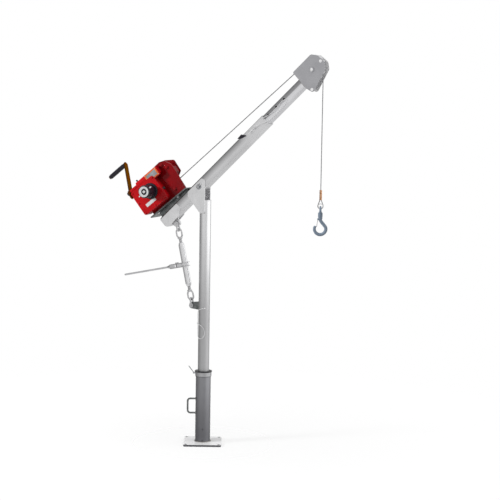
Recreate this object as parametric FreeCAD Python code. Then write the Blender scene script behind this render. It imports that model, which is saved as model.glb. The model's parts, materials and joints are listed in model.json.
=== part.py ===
import FreeCAD, Part

import math
import os

from FreeCAD import Placement, Rotation, Vector

# A bolted-down davit crane: a pedestal, a turning mast, a telescoping boom that a ratchet jack luffs,
# and a worm winch on the boom's tail.  Millimetres, +Z up, origin under the middle of the base plate,
# on the mast's axis.  +X is the boom's reach, and the boom's mid plane is Y = 0.

# Base plate and pedestal
plate_thick = 12.7
plate_corner = 12.0
bolt_spacing = 222.0
bolt_hole = 17.5
bolt_edge = 16.0
base_turn = 24.0
pedestal_od = 101.6
pedestal_wall = 4.8
pedestal_top = 490.0
drain_hole = 10.0
drain_height = 25.0
grease_height = 102.0
collar_od = 110.0
collar_height = 27.0
bush_length = 50.0
bush_flange = 7.0
bush_flange_od = 116.0
cup_floor = 10.0
cup_floor_low = 60.0
cup_top = 130.0
handle_low = 206.0
handle_high = 304.0
handle_reach = 104.0
handle_rod = 12.0
handle_bend = 18.0
lock_screw = 8.0
lock_drop = 8.0
lock_boss = 14.0
lock_boss_reach = 57.5
lock_hub = 6.5
lock_lever_rod = 6.0
lock_lever_out = 34.0
lock_lever_rise = 44.0

# Mast and its head
mast_od = 76.2
mast_wall = 4.0
mast_top = 1645.0
turning_fit = 0.3
cap_thick = 10.0
cheek_thick = 6.4
cheek_side_fit = 0.9
cheek_back = 82.0
cheek_drop = 28.0
cheek_round = 14.0
pivot_x = -30.0
pivot_rise = 99.0
pivot_pin = 19.0
pivot_head = 30.0
pivot_head_thick = 6.0
pivot_tail = 16.0
pin_fit = 0.25
clip_wire = 3.2

# Boom
boom_angle = 44.0
boom_outer = 76.2
boom_wall = 5.0
boom_corner = 8.0
telescope_fit = 0.6
inner_wall = 4.0
boom_tail = -365.0
boom_nose = 655.0
inner_start = 340.0
inner_end = 1034.0
lock_hole_pitch = 75.0
holes_inward = 2
holes_outward = 4
extension_pin = 12.7
extension_beta = 541.0
extension_nu = 12.0
extension_fit = 0.4

# Boom head and sheave
sheave_beta = 1110.0
sheave_nu = 17.0
sheave_pitch = 66.0
sheave_rim = 12.0
sheave_width = 22.0
sheave_hub = 24.0
axle = 25.0
axle_head = 34.0
head_plate = 6.0
keeper_pin = 14.0
keeper_reach = 82.0
bush_wall = 3.0
running_fit = 0.1
side_play = 0.5
rope = 6.4
rope_seat = 0.3

# Fall, hook and swivel
fall_drop = 772.3
sleeve_length = 65.0
sleeve_od = 17.0
eye_drop = 39.0
thimble_hole = 12.0
thimble_wall = 2.0
thimble_width = 10.0
swivel_ring = 22.0
swivel_bar = 6.0
swivel_hub = 15.0
swivel_hub_length = 30.0
hook_shank = 7.0
hook_collar = 10.5
hook_collar_length = 7.0
hook_bar = 11.0
hook_bowl = 38.0
hook_drop = 74.0
hook_turn = 24.0
latch_thick = 3.0
latch_width = 12.0

# Worm winch, in its own frame: U towards the boom's nose, V away from the boom
winch_front = -75.0
winch_seat = 58.0
winch_tilt = 5.0
mount_plate = 8.0
mount_overhang = 32.0
frame_thick = 8.0
frame_near = -50.0
frame_far = 62.0
frame_length = 300.0
near_height = 250.0
far_height = 285.0
foot = 30.0
drum_u = -195.0
drum_v = 122.0
drum_barrel = 36.8
drum_flange = 74.0
drum_flange_thick = 6.0
drum_shaft = 25.0
case_front = -110.0
case_tail = -330.0
case_nose = -119.0
case_low = 14.0
case_top = 200.0
case_wall = 8.0
case_round = 16.0
cover_thick = 8.0
cover_boss = 46.0
worm_tunnel = 28.0
worm_tunnel_nose = -70.0
worm_neck = 16.0
worm_neck_nose = -262.0
worm_rise = 90.0
worm_radius = 24.0
worm_length = 84.0
worm_shaft = 20.0
mesh_gap = 0.6
wheel_width = 28.0
wheel_teeth = 24
tooth_depth = 9.0
shroud_sheet = 3.0
tie_rod = 12.0
tie_nut = 22.0
tie_nut_thick = 8.0
clutch_radius = 43.0
clutch_length = 88.0
clutch_gap = 1.0
clutch_bar = 10.0
clutch_bar_reach = 58.0
clutch_bar_depth = 16.0
clutch_cap = 36.0
clutch_cap_thick = 4.0
crank_radius = 300.0
crank_width = 32.0
crank_thick = 10.0
crank_tail = 45.0
crank_hub = 20.0
crank_lean = 40.0
grip_length = 150.0
grip_radius = 16.0
grip_pin = 12.0
winding_pitch = 7.2
winding_turns = 5

# Ratchet jack between the boom's tail and the mast
lug_x = -88.0
lug_drop = 707.0
tail_lug_beta = -307.0
tail_lug_nu = -63.0
lug_thick = 16.0
lug_round = 20.0
shackle_bar = 12.0
shackle_pin = 12.7
shackle_side = 2.5
shackle_reach = 50.0
shackle_eye = 15.0
link_gap = 0.3
eye_bar = 11.0
eye_gap = 28.0
eye_straight = 20.0
screw_od = 22.0
screw_length = 150.0
screw_fit = 0.4
screw_shoulder = 17.0
barrel_od = 40.0
barrel_end_gap = 24.0
ratchet_od = 50.0
ratchet_width = 18.0
ratchet_teeth = 16
ratchet_notch = 2.2
fork_plate = 6.0
fork_reach = 110.0
fork_ring = 33.0
fork_block = 25.0
lever_reach = 465.0
lever_rod = 13.0
pawl_pivot = 58.0

# Wire lanyards
lanyard_wire = 3.0

plate_size = bolt_spacing + 2 * bolt_edge
pivot_z = mast_top + pivot_rise
lug_z = mast_top - lug_drop
mount_length = frame_length + mount_overhang
rope_radius = rope / 2
mast_radius = mast_od / 2
pedestal_bore = pedestal_od / 2 - pedestal_wall
inner_size = boom_outer - 2 * boom_wall - 2 * telescope_fit
cheek_gap = boom_outer + 2 * cheek_side_fit
mast_foot = cup_floor_low + cup_floor + turning_fit
winding_radius = drum_barrel + rope_seat + rope_radius
lock_height = pedestal_top - lock_drop
worm_v = drum_v + worm_rise
worm_y = (case_front + frame_near - frame_thick) / 2
wheel_tip = worm_rise - worm_radius - mesh_gap
inner_half = inner_size / 2

along_y = Vector(0, 1, 0)
along_z = Vector(0, 0, 1)

nodes = {}


def node(name, *solids):
    nodes[name] = solids[0] if len(solids) == 1 else Part.makeCompound(list(solids))


def placed(shape, frame):
    moved = shape.copy()
    moved.Placement = frame.multiply(moved.Placement)
    return moved


base_frame = Placement(Vector(), Rotation(along_z, base_turn))
boom_frame = Placement(Vector(pivot_x, 0, pivot_z), Rotation(along_y, -boom_angle))
winch_frame = boom_frame.multiply(
    Placement(Vector(winch_front, 0, winch_seat), Rotation(along_y, winch_tilt))
)
drum_frame = winch_frame.multiply(Placement(Vector(drum_u, 0, drum_v), Rotation()))
sheave_frame = boom_frame.multiply(Placement(Vector(sheave_beta, 0, sheave_nu), Rotation()))
sheave_centre = sheave_frame.Base
fall_x = sheave_centre.x + sheave_pitch
sleeve_top = sheave_centre.z - fall_drop
hook_frame = Placement(Vector(fall_x, 0, 0), Rotation(along_z, hook_turn))
mast_lug = Vector(lug_x, 0, lug_z)
tail_lug = boom_frame.multVec(Vector(tail_lug_beta, 0, tail_lug_nu))
jack_length = (tail_lug - mast_lug).Length
jack_lean = math.degrees(math.atan2(mast_lug.x - tail_lug.x, tail_lug.z - mast_lug.z))
jack_frame = Placement(mast_lug, Rotation(along_y, -jack_lean))
upper_jack_frame = Placement(tail_lug, Rotation(along_y, 180 - jack_lean))


def box(x_range, y_range, z_range):
    size = [pair[1] - pair[0] for pair in (x_range, y_range, z_range)]
    return Part.makeBox(*size, Vector(x_range[0], y_range[0], z_range[0]))


def rod(radius, start, end):
    return Part.makeCylinder(radius, (end - start).Length, start, end - start)


def cross_rod(radius, x, z, y_range):
    return rod(radius, Vector(x, y_range[0], z), Vector(x, y_range[1], z))


def turned_z(profile):
    """A solid turned about Z from (radius, height) corners."""
    points = [Vector(r, 0, z) for r, z in profile]
    face = Part.Face(Part.makePolygon(points + points[:1]))
    return face.revolve(Vector(), along_z, 360)


def turned_y(profile):
    """A solid turned about Y from (radius, y) corners."""
    points = [Vector(r, y, 0) for r, y in profile]
    face = Part.Face(Part.makePolygon(points + points[:1]))
    return face.revolve(Vector(), along_y, 360)


def rounded_face(corners, y):
    """A flat face in the plane at y, from (x, z, corner radius) corners."""
    points = [Vector(x, y, z) for x, z, _ in corners]
    edges = []
    starts = []
    ends = []
    middles = []
    for index, (_, _, radius) in enumerate(corners):
        here = points[index]
        back = (points[index - 1] - here).normalize()
        ahead = (points[(index + 1) % len(points)] - here).normalize()
        half = back.getAngle(ahead) / 2
        reach = radius / math.tan(half)
        starts.append(here + back * reach)
        ends.append(here + ahead * reach)
        inward = (back + ahead).normalize()
        middles.append(here + inward * (radius / math.sin(half) - radius))
    for index, (_, _, radius) in enumerate(corners):
        if radius:
            edges.append(Part.Arc(starts[index], middles[index], ends[index]).toShape())
        edges.append(Part.LineSegment(ends[index], starts[(index + 1) % len(corners)]).toShape())
    return Part.Face(Part.Wire(edges))


def plate(corners, y_range):
    face = rounded_face(corners, y_range[0])
    return face.extrude(Vector(0, y_range[1] - y_range[0], 0))


def rounded_box(x_range, y_range, z_range, radius):
    (x0, x1), (z0, z1) = x_range, z_range
    corners = [(x0, z0, radius), (x1, z0, radius), (x1, z1, radius), (x0, z1, radius)]
    return plate(corners, y_range)


def square_bar(size, corner, x_range):
    """A bar of rounded square section along X."""
    half = size / 2
    section = rounded_box((-half, half), (0, x_range[1] - x_range[0]), (-half, half), corner)
    section.rotate(Vector(), along_z, -90)
    section.translate(Vector(x_range[0], 0, 0))
    return section


def square_tube(size, wall, corner, x_range):
    outside = square_bar(size, corner, x_range)
    return outside.cut(square_bar(size - 2 * wall, max(corner - wall, 1.0), x_range))


def arc_from(start, heading, end):
    """The arc that leaves start along heading and arrives at end."""
    chord = end - start
    length = chord.Length
    chord.normalize()
    lean = heading.getAngle(chord)
    if lean < 1e-6:
        return Part.LineSegment(start, end).toShape()
    sideways = (heading - chord * heading.dot(chord)).normalize()
    middle = (start + end) / 2 + sideways * (length / 2 * math.tan(lean / 2))
    return Part.Arc(start, middle, end).toShape()


def biarc(start, heading, end, arrival):
    """Two tangent arcs from start to end with the given unit headings."""
    span = end - start
    both = heading + arrival
    turn = 2 * (1 - heading.dot(arrival))
    if turn < 1e-9:
        reach = span.dot(span) / (2 * span.dot(both))
    else:
        reach = (math.sqrt(span.dot(both) ** 2 + turn * span.dot(span)) - span.dot(both)) / turn
    middle = (start + heading * reach + end - arrival * reach) / 2
    return [arc_from(start, heading, middle), arc_from(end, arrival * -1, middle)]


def tube_along(edges, radius, heading):
    """A round tube along tangent edges that start with the given heading."""
    wire = Part.Wire(Part.__sortEdges__(edges))
    start = wire.OrderedVertexes[0].Point
    ring = Part.Wire(Part.makeCircle(radius, start, heading))
    return wire.makePipeShell([ring], True, False)


def cord_path(points):
    """Straight runs joined by the largest tangent arcs that their lengths allow, and the arcs' radii."""
    edges = []
    radii = []
    last = points[0]
    for index in range(1, len(points) - 1):
        here = points[index]
        back = points[index - 1] - here
        ahead = points[index + 1] - here
        reach = 0.45 * min(back.Length, ahead.Length)
        enter = here + back.normalize() * reach
        leave = here + ahead.normalize() * reach
        edges.append(Part.LineSegment(last, enter).toShape())
        edges.append(arc_from(enter, back * -1, leave))
        radii.append(reach * math.tan(back.getAngle(ahead) / 2))
        last = leave
    edges.append(Part.LineSegment(last, points[-1]).toShape())
    return edges, radii


def cord(name, points, radius):
    """A cord's tube; prints its bend radii and compares its volume with its length."""
    edges, radii = cord_path(points)
    tube = tube_along(edges, radius, (points[1] - points[0]).normalize())
    length = sum(edge.Length for edge in edges)
    share = tube.Volume / (math.pi * radius**2 * length)
    print(name, "length", round(length), "radii", [round(r, 1) for r in radii], "volume", round(share, 4))
    return tube


def build_base():
    half = plate_size / 2
    bolt = bolt_spacing / 2
    slab = rounded_box((-half, half), (0, plate_thick), (-half, half), plate_corner)
    slab.rotate(Vector(), Vector(1, 0, 0), 90)
    for x in (-bolt, bolt):
        for y in (-bolt, bolt):
            slab = slab.cut(Part.makeCylinder(bolt_hole / 2, plate_thick, Vector(x, y, 0)))
    slab = slab.cut(Part.makeCylinder(drain_hole, plate_thick))
    node("base_plate", placed(slab, base_frame))


def lock_bore(radius):
    """The slew lock's radial bore through collar, pedestal and bush."""
    return rod(radius, Vector(-mast_radius + 10, 0, lock_height), Vector(-collar_od, 0, lock_height))


def build_pedestal():
    lock_clear = lock_screw / 2 + turning_fit
    tube = turned_z([
        (pedestal_bore, plate_thick),
        (pedestal_od / 2, plate_thick),
        (pedestal_od / 2, pedestal_top),
        (pedestal_bore, pedestal_top),
    ])
    for height in (drain_height, grease_height):
        tube = tube.cut(rod(drain_hole / 2, Vector(0, 0, height), Vector(0, -pedestal_od, height)))
    node("pedestal_tube", placed(tube.cut(lock_bore(lock_clear)), base_frame))

    collar = turned_z([
        (pedestal_od / 2, pedestal_top - collar_height),
        (collar_od / 2, pedestal_top - collar_height),
        (collar_od / 2, pedestal_top),
        (pedestal_od / 2, pedestal_top),
    ])
    boss = rod(lock_boss / 2, Vector(0, 0, lock_height), Vector(-lock_boss_reach, 0, lock_height))
    inside = Part.makeCylinder(pedestal_od / 2, pedestal_top)
    collar = collar.fuse(boss).cut(inside).cut(lock_bore(lock_clear))
    node("pedestal_collar", placed(collar, base_frame))

    bore = mast_radius + turning_fit
    bush = turned_z([
        (bore, pedestal_top - bush_length),
        (pedestal_bore, pedestal_top - bush_length),
        (pedestal_bore, pedestal_top),
        (bush_flange_od / 2, pedestal_top),
        (bush_flange_od / 2, pedestal_top + bush_flange),
        (bore, pedestal_top + bush_flange),
    ])
    node("upper_bush", placed(bush.cut(lock_bore(lock_clear)), base_frame))

    foot_bore = pedestal_bore - 2 * pedestal_wall
    cup = turned_z([
        (foot_bore, plate_thick),
        (pedestal_bore, plate_thick),
        (pedestal_bore, cup_top),
        (bore, cup_top),
        (bore, cup_floor_low + cup_floor),
        (drain_hole, cup_floor_low + cup_floor),
        (drain_hole, cup_floor_low),
        (foot_bore, cup_floor_low),
    ])
    node("lower_bearing_cup", cup)


def build_carry_handle():
    radius = handle_rod / 2
    inside = -pedestal_od / 2 + pedestal_wall
    corners = [
        Vector(inside, 0, handle_low),
        Vector(-handle_reach, 0, handle_low),
        Vector(-handle_reach, 0, handle_high),
        Vector(inside, 0, handle_high),
    ]
    bend = handle_bend
    diagonal = bend * (1 - math.sqrt(0.5))
    low_middle = Vector(-handle_reach + diagonal, 0, handle_low + diagonal)
    high_middle = Vector(-handle_reach + diagonal, 0, handle_high - diagonal)
    low_leave = Vector(-handle_reach + bend, 0, handle_low)
    low_rise = Vector(-handle_reach, 0, handle_low + bend)
    high_rise = Vector(-handle_reach, 0, handle_high - bend)
    high_leave = Vector(-handle_reach + bend, 0, handle_high)
    edges = [
        Part.LineSegment(corners[0], low_leave).toShape(),
        Part.Arc(low_leave, low_middle, low_rise).toShape(),
        Part.LineSegment(low_rise, high_rise).toShape(),
        Part.Arc(high_rise, high_middle, high_leave).toShape(),
        Part.LineSegment(high_leave, corners[3]).toShape(),
    ]
    loop = tube_along(edges, radius, Vector(-1, 0, 0))
    loop = loop.cut(Part.makeCylinder(pedestal_od / 2, pedestal_top))
    node("carry_handle", placed(loop, base_frame))


def build_slew_lock():
    tip = Vector(-mast_radius - turning_fit, 0, lock_height)
    hub_start = Vector(-lock_boss_reach - turning_fit, 0, lock_height)
    hub_end = hub_start - Vector(2 * lock_hub, 0, 0)
    lever_root = (hub_start + hub_end) / 2
    lever_tip = lever_root + Vector(-lock_lever_out, 0, lock_lever_rise)
    screw = rod(lock_screw / 2, tip, hub_end).fuse(rod(lock_hub, hub_start, hub_end))
    lever = rod(lock_lever_rod / 2, lever_root, lever_tip)
    lever = lever.fuse(Part.makeSphere(lock_lever_rod / 2, lever_tip))
    node("slew_lock_screw", placed(screw.fuse(lever).removeSplitter(), base_frame))


def build_mast():
    tube = turned_z([
        (mast_radius - mast_wall, mast_foot),
        (mast_radius, mast_foot),
        (mast_radius, mast_top),
        (mast_radius - mast_wall, mast_top),
    ])
    node("mast_tube", tube)
    side = cheek_gap / 2
    front = mast_radius - mast_od * 0.3
    disc = Part.makeCylinder(mast_radius, cap_thick, Vector(0, 0, mast_top))
    bridge = box((-mast_radius, front), (-side, side), (mast_top, mast_top + cap_thick))
    node("mast_cap", disc.fuse(bridge).removeSplitter())

    head_low = mast_top - mast_od
    head_high = pivot_z + 1.5 * boom_outer / 2
    outline = [
        (front, head_low, cap_thick),
        (front, head_high - cap_thick, cap_thick),
        (pivot_x + pivot_pin, head_high, cheek_round),
        (pivot_x - cheek_back, pivot_z - boom_outer / 2, cheek_round),
        (pivot_x - cheek_back, pivot_z - boom_outer / 2 - cheek_drop, cheek_round),
        (-front - cheek_thick, head_low, cap_thick),
    ]
    hole = cross_rod(pivot_pin / 2, pivot_x, pivot_z, (-side - cheek_thick, side + cheek_thick))
    near = plate(outline, (-side - cheek_thick, -side)).cut(hole)
    far = plate(outline, (side, side + cheek_thick)).cut(hole)
    node("head_cheeks", near, far)


def build_pivot_pin():
    outside = cheek_gap / 2 + cheek_thick
    clip_y = -outside - pivot_tail / 2
    shank = cross_rod(pivot_pin / 2, 0, 0, (-outside - pivot_tail, outside))
    head = cross_rod(pivot_head / 2, 0, 0, (outside, outside + pivot_head_thick))
    hole_half = clip_wire / 2 + turning_fit
    hole = rod(hole_half, Vector(-pivot_pin, clip_y, 0), Vector(pivot_pin, clip_y, 0))
    node("pivot_pin", placed(shank.fuse(head).removeSplitter().cut(hole), boom_frame))

    back_leg = pivot_pin / 2 + clip_wire
    bend_x = pivot_pin + clip_wire
    leg_start = Vector(-pivot_pin, clip_y, 0)
    bend_start = Vector(bend_x, clip_y, 0)
    bend_end = Vector(bend_x, clip_y, back_leg)
    bend_middle = Vector(bend_x + back_leg / 2, clip_y, back_leg / 2)
    edges = [
        Part.LineSegment(leg_start, bend_start).toShape(),
        Part.Arc(bend_start, bend_middle, bend_end).toShape(),
        Part.LineSegment(bend_end, Vector(-pivot_pin, clip_y, back_leg)).toShape(),
    ]
    clip = tube_along(edges, clip_wire / 2, Vector(1, 0, 0))
    node("pivot_pin_clip", placed(clip, boom_frame))


def build_boom_tubes():
    half = boom_outer / 2
    outer = square_tube(boom_outer, boom_wall, boom_corner, (boom_tail, boom_nose))
    outer = outer.cut(cross_rod(pivot_pin / 2 + pin_fit, 0, 0, (-half, half)))
    pin_hole = extension_pin / 2 + extension_fit
    outer = outer.cut(cross_rod(pin_hole, extension_beta, extension_nu, (-half, half)))
    node("boom_outer_tube", placed(outer, boom_frame))

    inner = square_tube(inner_size, inner_wall, boom_corner - telescope_fit - 2, (inner_start, inner_end))
    for step in range(-holes_inward, holes_outward + 1):
        beta = extension_beta + step * lock_hole_pitch
        inner = inner.cut(cross_rod(pin_hole, beta, extension_nu, (-inner_half, inner_half)))
    node("boom_inner_tube", placed(inner, boom_frame))


def build_extension_pin():
    half = boom_outer / 2
    radius = extension_pin / 2
    seat = -half - turning_fit
    pull_y = seat - 4 * radius
    shank = cross_rod(radius, 0, 0, (pull_y, half + radius))
    collar = cross_rod(2 * radius, 0, 0, (seat - radius, seat))
    pull = rod(0.8 * radius, Vector(-4 * radius, pull_y, 0), Vector(4 * radius, pull_y, 0))
    pin = shank.fuse(collar).fuse(pull).removeSplitter()
    frame = boom_frame.multiply(Placement(Vector(extension_beta, 0, extension_nu), Rotation()))
    node("extension_pin", placed(pin, frame))


def build_boom_head():
    side = inner_half
    outline = [
        (sheave_beta - 108, sheave_nu + 76, 8),
        (sheave_beta + 62, sheave_nu + 76, 18),
        (sheave_beta + 90, sheave_nu + 40, 16),
        (sheave_beta + 97, sheave_nu - 22, 16),
        (sheave_beta + 70, sheave_nu - 62, 16),
        (sheave_beta - 92, sheave_nu - 116, 18),
        (sheave_beta - 109, sheave_nu - 64, 12),
    ]
    keepers = [(sheave_beta + keeper_reach, sheave_nu - 2), (sheave_beta - 84, sheave_nu - 95)]
    sides = []
    for y_range in ((-side - head_plate, -side), (side, side + head_plate)):
        wall = plate(outline, y_range).cut(cross_rod(axle / 2, sheave_beta, sheave_nu, y_range))
        for beta, nu in keepers:
            wall = wall.cut(cross_rod(keeper_pin / 2, beta, nu, y_range))
        sides.append(placed(wall, boom_frame))
    node("head_plates", *sides)

    outside = side + head_plate
    end = outside + head_plate
    shank = cross_rod(axle / 2, 0, 0, (-end, outside))
    cap = cross_rod(axle_head / 2, 0, 0, (outside, end))
    cap_near = cross_rod(axle_head / 2, 0, 0, (-end, -outside))
    node("sheave_axle", placed(shank.fuse(cap).fuse(cap_near).removeSplitter(), sheave_frame))

    pins = []
    for beta, nu in keepers:
        shank = cross_rod(keeper_pin / 2, beta, nu, (-outside, outside))
        for y_range in ((-outside - head_plate / 2, -outside), (outside, outside + head_plate / 2)):
            shank = shank.fuse(cross_rod(keeper_pin * 0.75, beta, nu, y_range))
        pins.append(placed(shank.removeSplitter(), boom_frame))
    node("keeper_pins", *pins)


def build_sheave():
    hub_half = inner_half - side_play
    groove = sheave_pitch - rope_radius - rope_seat
    rim = sheave_pitch + sheave_rim / 2
    bore = axle / 2 + bush_wall
    half = sheave_width / 2
    web = half / 2
    wheel = turned_y([
        (bore, -hub_half), (sheave_hub, -hub_half), (sheave_hub, -web), (groove - 10, -web),
        (groove - 6, -half), (rim, -half), (rim, -half + 2), (groove, -rope_radius - rope_seat),
        (groove, rope_radius + rope_seat), (rim, half - 2), (rim, half), (groove - 6, half),
        (groove - 10, web), (sheave_hub, web), (sheave_hub, hub_half), (bore, hub_half),
    ])
    node("sheave", placed(wheel, sheave_frame))
    inside = axle / 2 + running_fit
    bush = turned_y([(inside, -hub_half), (bore, -hub_half), (bore, hub_half), (inside, hub_half)])
    node("sheave_bush", placed(bush, sheave_frame))


def build_rope():
    """The rope leaves the drum's underside, crosses to the sheave's top and falls plumb to the hook."""
    drum_centre = boom_frame.inverse().multVec(drum_frame.Base)
    gap = Vector(sheave_beta, 0, sheave_nu) - drum_centre
    slope = math.atan2(gap.z, gap.x) + math.asin((winding_radius + sheave_pitch) / gap.Length)
    ahead = Vector(math.cos(slope), 0, math.sin(slope))
    up = Vector(-ahead.z, 0, ahead.x)
    leave = drum_centre - up * winding_radius
    arrive = Vector(sheave_beta, 0, sheave_nu) + up * sheave_pitch
    stub = ahead * rope
    node("rope_run", placed(rod(rope_radius, leave + stub, arrive), boom_frame))

    start = Vector(sheave_pitch, 0, 0)
    ring = Part.Face(Part.Wire(Part.makeCircle(rope_radius, start, along_z)))
    wrap = 90 + boom_angle + math.degrees(slope)
    bend = ring.revolve(Vector(), Vector(0, -1, 0), wrap)
    node("rope_over_sheave", placed(bend, Placement(sheave_centre, Rotation())))
    top = Vector(fall_x, 0, sheave_centre.z)
    node("rope_fall", rod(rope_radius, top, Vector(fall_x, 0, sleeve_top)))
    print("rope run", round((arrive - leave).Length), "wrap", round(math.radians(wrap) * sheave_pitch),
          "fall", round(top.z - sleeve_top), "slope", round(math.degrees(slope), 2))
    build_winding(boom_frame.multVec(leave), boom_frame.Rotation.multVec(ahead))


def build_winding(leave, ahead):
    """The outer layer on the drum, from a flange to the exit, as quarter-turn biarcs."""
    centre = drum_frame.Base
    out = (leave - centre).normalize()
    points = []
    headings = []
    quarters = 4 * winding_turns
    climb = winding_pitch / (2 * math.pi * winding_radius)
    for index in range(quarters + 1):
        back = (quarters - index) * math.pi / 2
        radial = out * math.cos(back) - ahead * math.sin(back)
        tangent = ahead * math.cos(back) + out * math.sin(back)
        y = -winding_pitch * (quarters - index) / 4
        points.append(centre + radial * winding_radius + Vector(0, y, 0))
        headings.append((tangent + Vector(0, climb, 0)).normalize())
    headings[-1] = ahead
    start = points[0] - headings[0] * rope
    edges = [Part.LineSegment(start, points[0]).toShape()]
    for index in range(quarters):
        edges += biarc(points[index], headings[index], points[index + 1], headings[index + 1])
    edges.append(Part.LineSegment(points[-1], points[-1] + ahead * rope).toShape())
    coil = tube_along(edges, rope_radius, headings[0])
    length = sum(edge.Length for edge in edges)
    node("rope_winding", coil)
    least = least_self_gap(edges, length) - rope
    share = coil.Volume / (math.pi * rope_radius**2 * length)
    print("winding length", round(length), "gap to itself", round(least, 2), "volume", round(share, 4))


def least_self_gap(edges, length):
    """The least distance between points of a coil that are over a quarter turn apart along it."""
    samples = []
    run = 0.0
    for edge in edges:
        count = max(2, int(edge.Length / 4))
        for index in range(count):
            share = edge.FirstParameter + (edge.LastParameter - edge.FirstParameter) * index / count
            samples.append((run + edge.Length * index / count, edge.valueAt(share)))
        run += edge.Length
    apart = length / (4 * winding_turns)
    least = length
    for index, (place, point) in enumerate(samples):
        for other_place, other in samples[index + 1:]:
            if other_place - place > apart:
                least = min(least, (other - point).Length)
    return least


def build_hook_block():
    sleeve_low = sleeve_top - sleeve_length
    node("swage_sleeve", rod(sleeve_od / 2, Vector(fall_x, 0, sleeve_low), Vector(fall_x, 0, sleeve_top)))

    loop_radius = thimble_hole + thimble_wall + rope_seat + rope_radius
    loop_z = sleeve_low - eye_drop
    leg_x = rope_radius + rope_seat
    reach = math.hypot(leg_x, eye_drop)
    swing = math.acos(loop_radius / reach)
    toward = math.atan2(eye_drop, leg_x)
    angle = toward - swing
    right = Vector(loop_radius * math.cos(angle), 0, loop_z + loop_radius * math.sin(angle))
    left = Vector(-right.x, 0, right.z)
    bottom = Vector(0, 0, loop_z - loop_radius)
    right_top = Vector(leg_x, 0, sleeve_low)
    left_top = Vector(-leg_x, 0, sleeve_low)
    edges = [
        Part.LineSegment(right_top, right).toShape(),
        Part.Arc(right, bottom, left).toShape(),
        Part.LineSegment(left, left_top).toShape(),
    ]
    loop = tube_along(edges, rope_radius, (right - right_top).normalize())
    above = box((-sleeve_od, sleeve_od), (-sleeve_od, sleeve_od), (sleeve_low, sleeve_top))
    node("rope_eye", placed(loop.cut(above), hook_frame))

    half = thimble_width / 2
    ring = turned_y([
        (thimble_hole, -half), (thimble_hole + thimble_wall, -half),
        (thimble_hole + thimble_wall, half), (thimble_hole, half),
    ])
    ring.translate(Vector(0, 0, loop_z))
    node("thimble", placed(ring, hook_frame))

    bar_z = loop_z - thimble_hole + swivel_bar + 4 * rope_seat
    ring_z = bar_z - swivel_ring
    build_swivel_and_hook(ring_z)


def build_swivel_and_hook(ring_z):
    floor = ring_z - swivel_ring + swivel_bar
    hub_low = floor - swivel_hub_length
    ring = Part.makeTorus(swivel_ring, swivel_bar, Vector(0, 0, ring_z), Vector(1, 0, 0))
    hub = Part.makeCylinder(swivel_hub, swivel_hub_length, Vector(0, 0, hub_low))
    bore = Part.makeCylinder(hook_shank + turning_fit, swivel_hub_length, Vector(0, 0, hub_low))
    pocket = Part.makeCylinder(
        hook_collar + turning_fit, hook_collar_length + 2 * turning_fit, Vector(0, 0, floor)
    )
    swivel = ring.fuse(hub).removeSplitter().cut(bore).cut(pocket)
    node("swivel_eye", placed(swivel, hook_frame))

    neck = hub_low - turning_fit
    bowl_z = neck - hook_drop
    root = Vector(0, 0, neck - hook_bar)
    back = Vector(hook_bowl, 0, bowl_z)
    down = Vector(0, 0, -1)
    tip_angle = math.radians(200)
    tip = Vector(hook_bowl * math.cos(tip_angle), 0, bowl_z - hook_bowl * math.sin(tip_angle))
    low = Vector(0, 0, bowl_z - hook_bowl)
    edges = biarc(root, down, back, down) + [Part.Arc(back, low, tip).toShape()]
    body = tube_along(edges, hook_bar, down)
    body = body.fuse(Part.makeSphere(hook_bar, tip))
    body = body.fuse(Part.makeCylinder(hook_bar + 3, hook_bar, root))
    shank = Part.makeCylinder(hook_shank, floor + turning_fit - root.z, root)
    head = Part.makeCylinder(hook_collar, hook_collar_length, Vector(0, 0, floor + turning_fit))
    body = body.fuse(shank).fuse(head).removeSplitter()
    build_latch(body, root, tip)


def build_latch(body, root, tip):
    """A sprung tongue from a pivot on the neck to the inside of the hook's point."""
    half = latch_width / 2
    pin = latch_thick * 0.8
    pivot = Vector(-hook_bar - 4, 0, root.z - 1.0)
    ear_y = half + latch_thick
    ears = box((pivot.x - 4, 0), (-ear_y, ear_y), (pivot.z - 5, pivot.z + 5))
    slot_y = half + turning_fit
    slot = box((pivot.x - 10, -hook_bar + 2), (-slot_y, slot_y), (pivot.z - 9, root.z + 20))
    bore = cross_rod(pin + turning_fit, pivot.x, pivot.z, (-ear_y, ear_y))
    node("hook", placed(body.fuse(ears).removeSplitter().cut(slot).cut(bore), hook_frame))

    reach = tip + Vector(hook_bar + latch_thick / 2 + 2 * turning_fit, 0, 0)
    along = reach - pivot
    length = along.Length
    tongue = box((0, length), (-half, half), (-latch_thick / 2, latch_thick / 2))
    knuckle = cross_rod(latch_thick * 1.2, 0, 0, (-half, half))
    rivet = cross_rod(pin, 0, 0, (-ear_y, ear_y))
    slope = math.degrees(math.atan2(along.z, along.x))
    latch = tongue.fuse(knuckle).fuse(rivet).removeSplitter()
    frame = Placement(pivot, Rotation(along_y, -slope))
    node("hook_latch", placed(placed(latch, frame), hook_frame))


def near_outline():
    return [
        (-frame_length, 0, 0), (0, 0, 0), (12, 98, 10), (14, near_height - 62, 20),
        (-12, near_height - 18, 16), (-58, near_height, 16), (-frame_length + 62, near_height - 12, 16),
        (-frame_length, near_height - 42, 16),
    ]


def far_outline():
    return [
        (-frame_length, 0, 0), (-47, 0, 8), (-42, 122, 10), (-6, 142, 12), (-2, far_height - 54, 16),
        (-56, far_height - 18, 16), (-104, far_height, 16), (-frame_length + 8, far_height - 12, 20),
    ]


def shroud_outline():
    return [
        (-frame_length, 0, 0), (-50, 0, 0), (-46, 126, 10), (-12, 144, 10), (-10, near_height - 66, 16),
        (-30, near_height - 22, 16), (-62, near_height - 4, 16), (-frame_length + 62, near_height - 16, 16),
        (-frame_length, near_height - 46, 16),
    ]


def tie_points():
    return [(-26, near_height - 60), (-50, near_height - 24), (-66, 40)]


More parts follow.
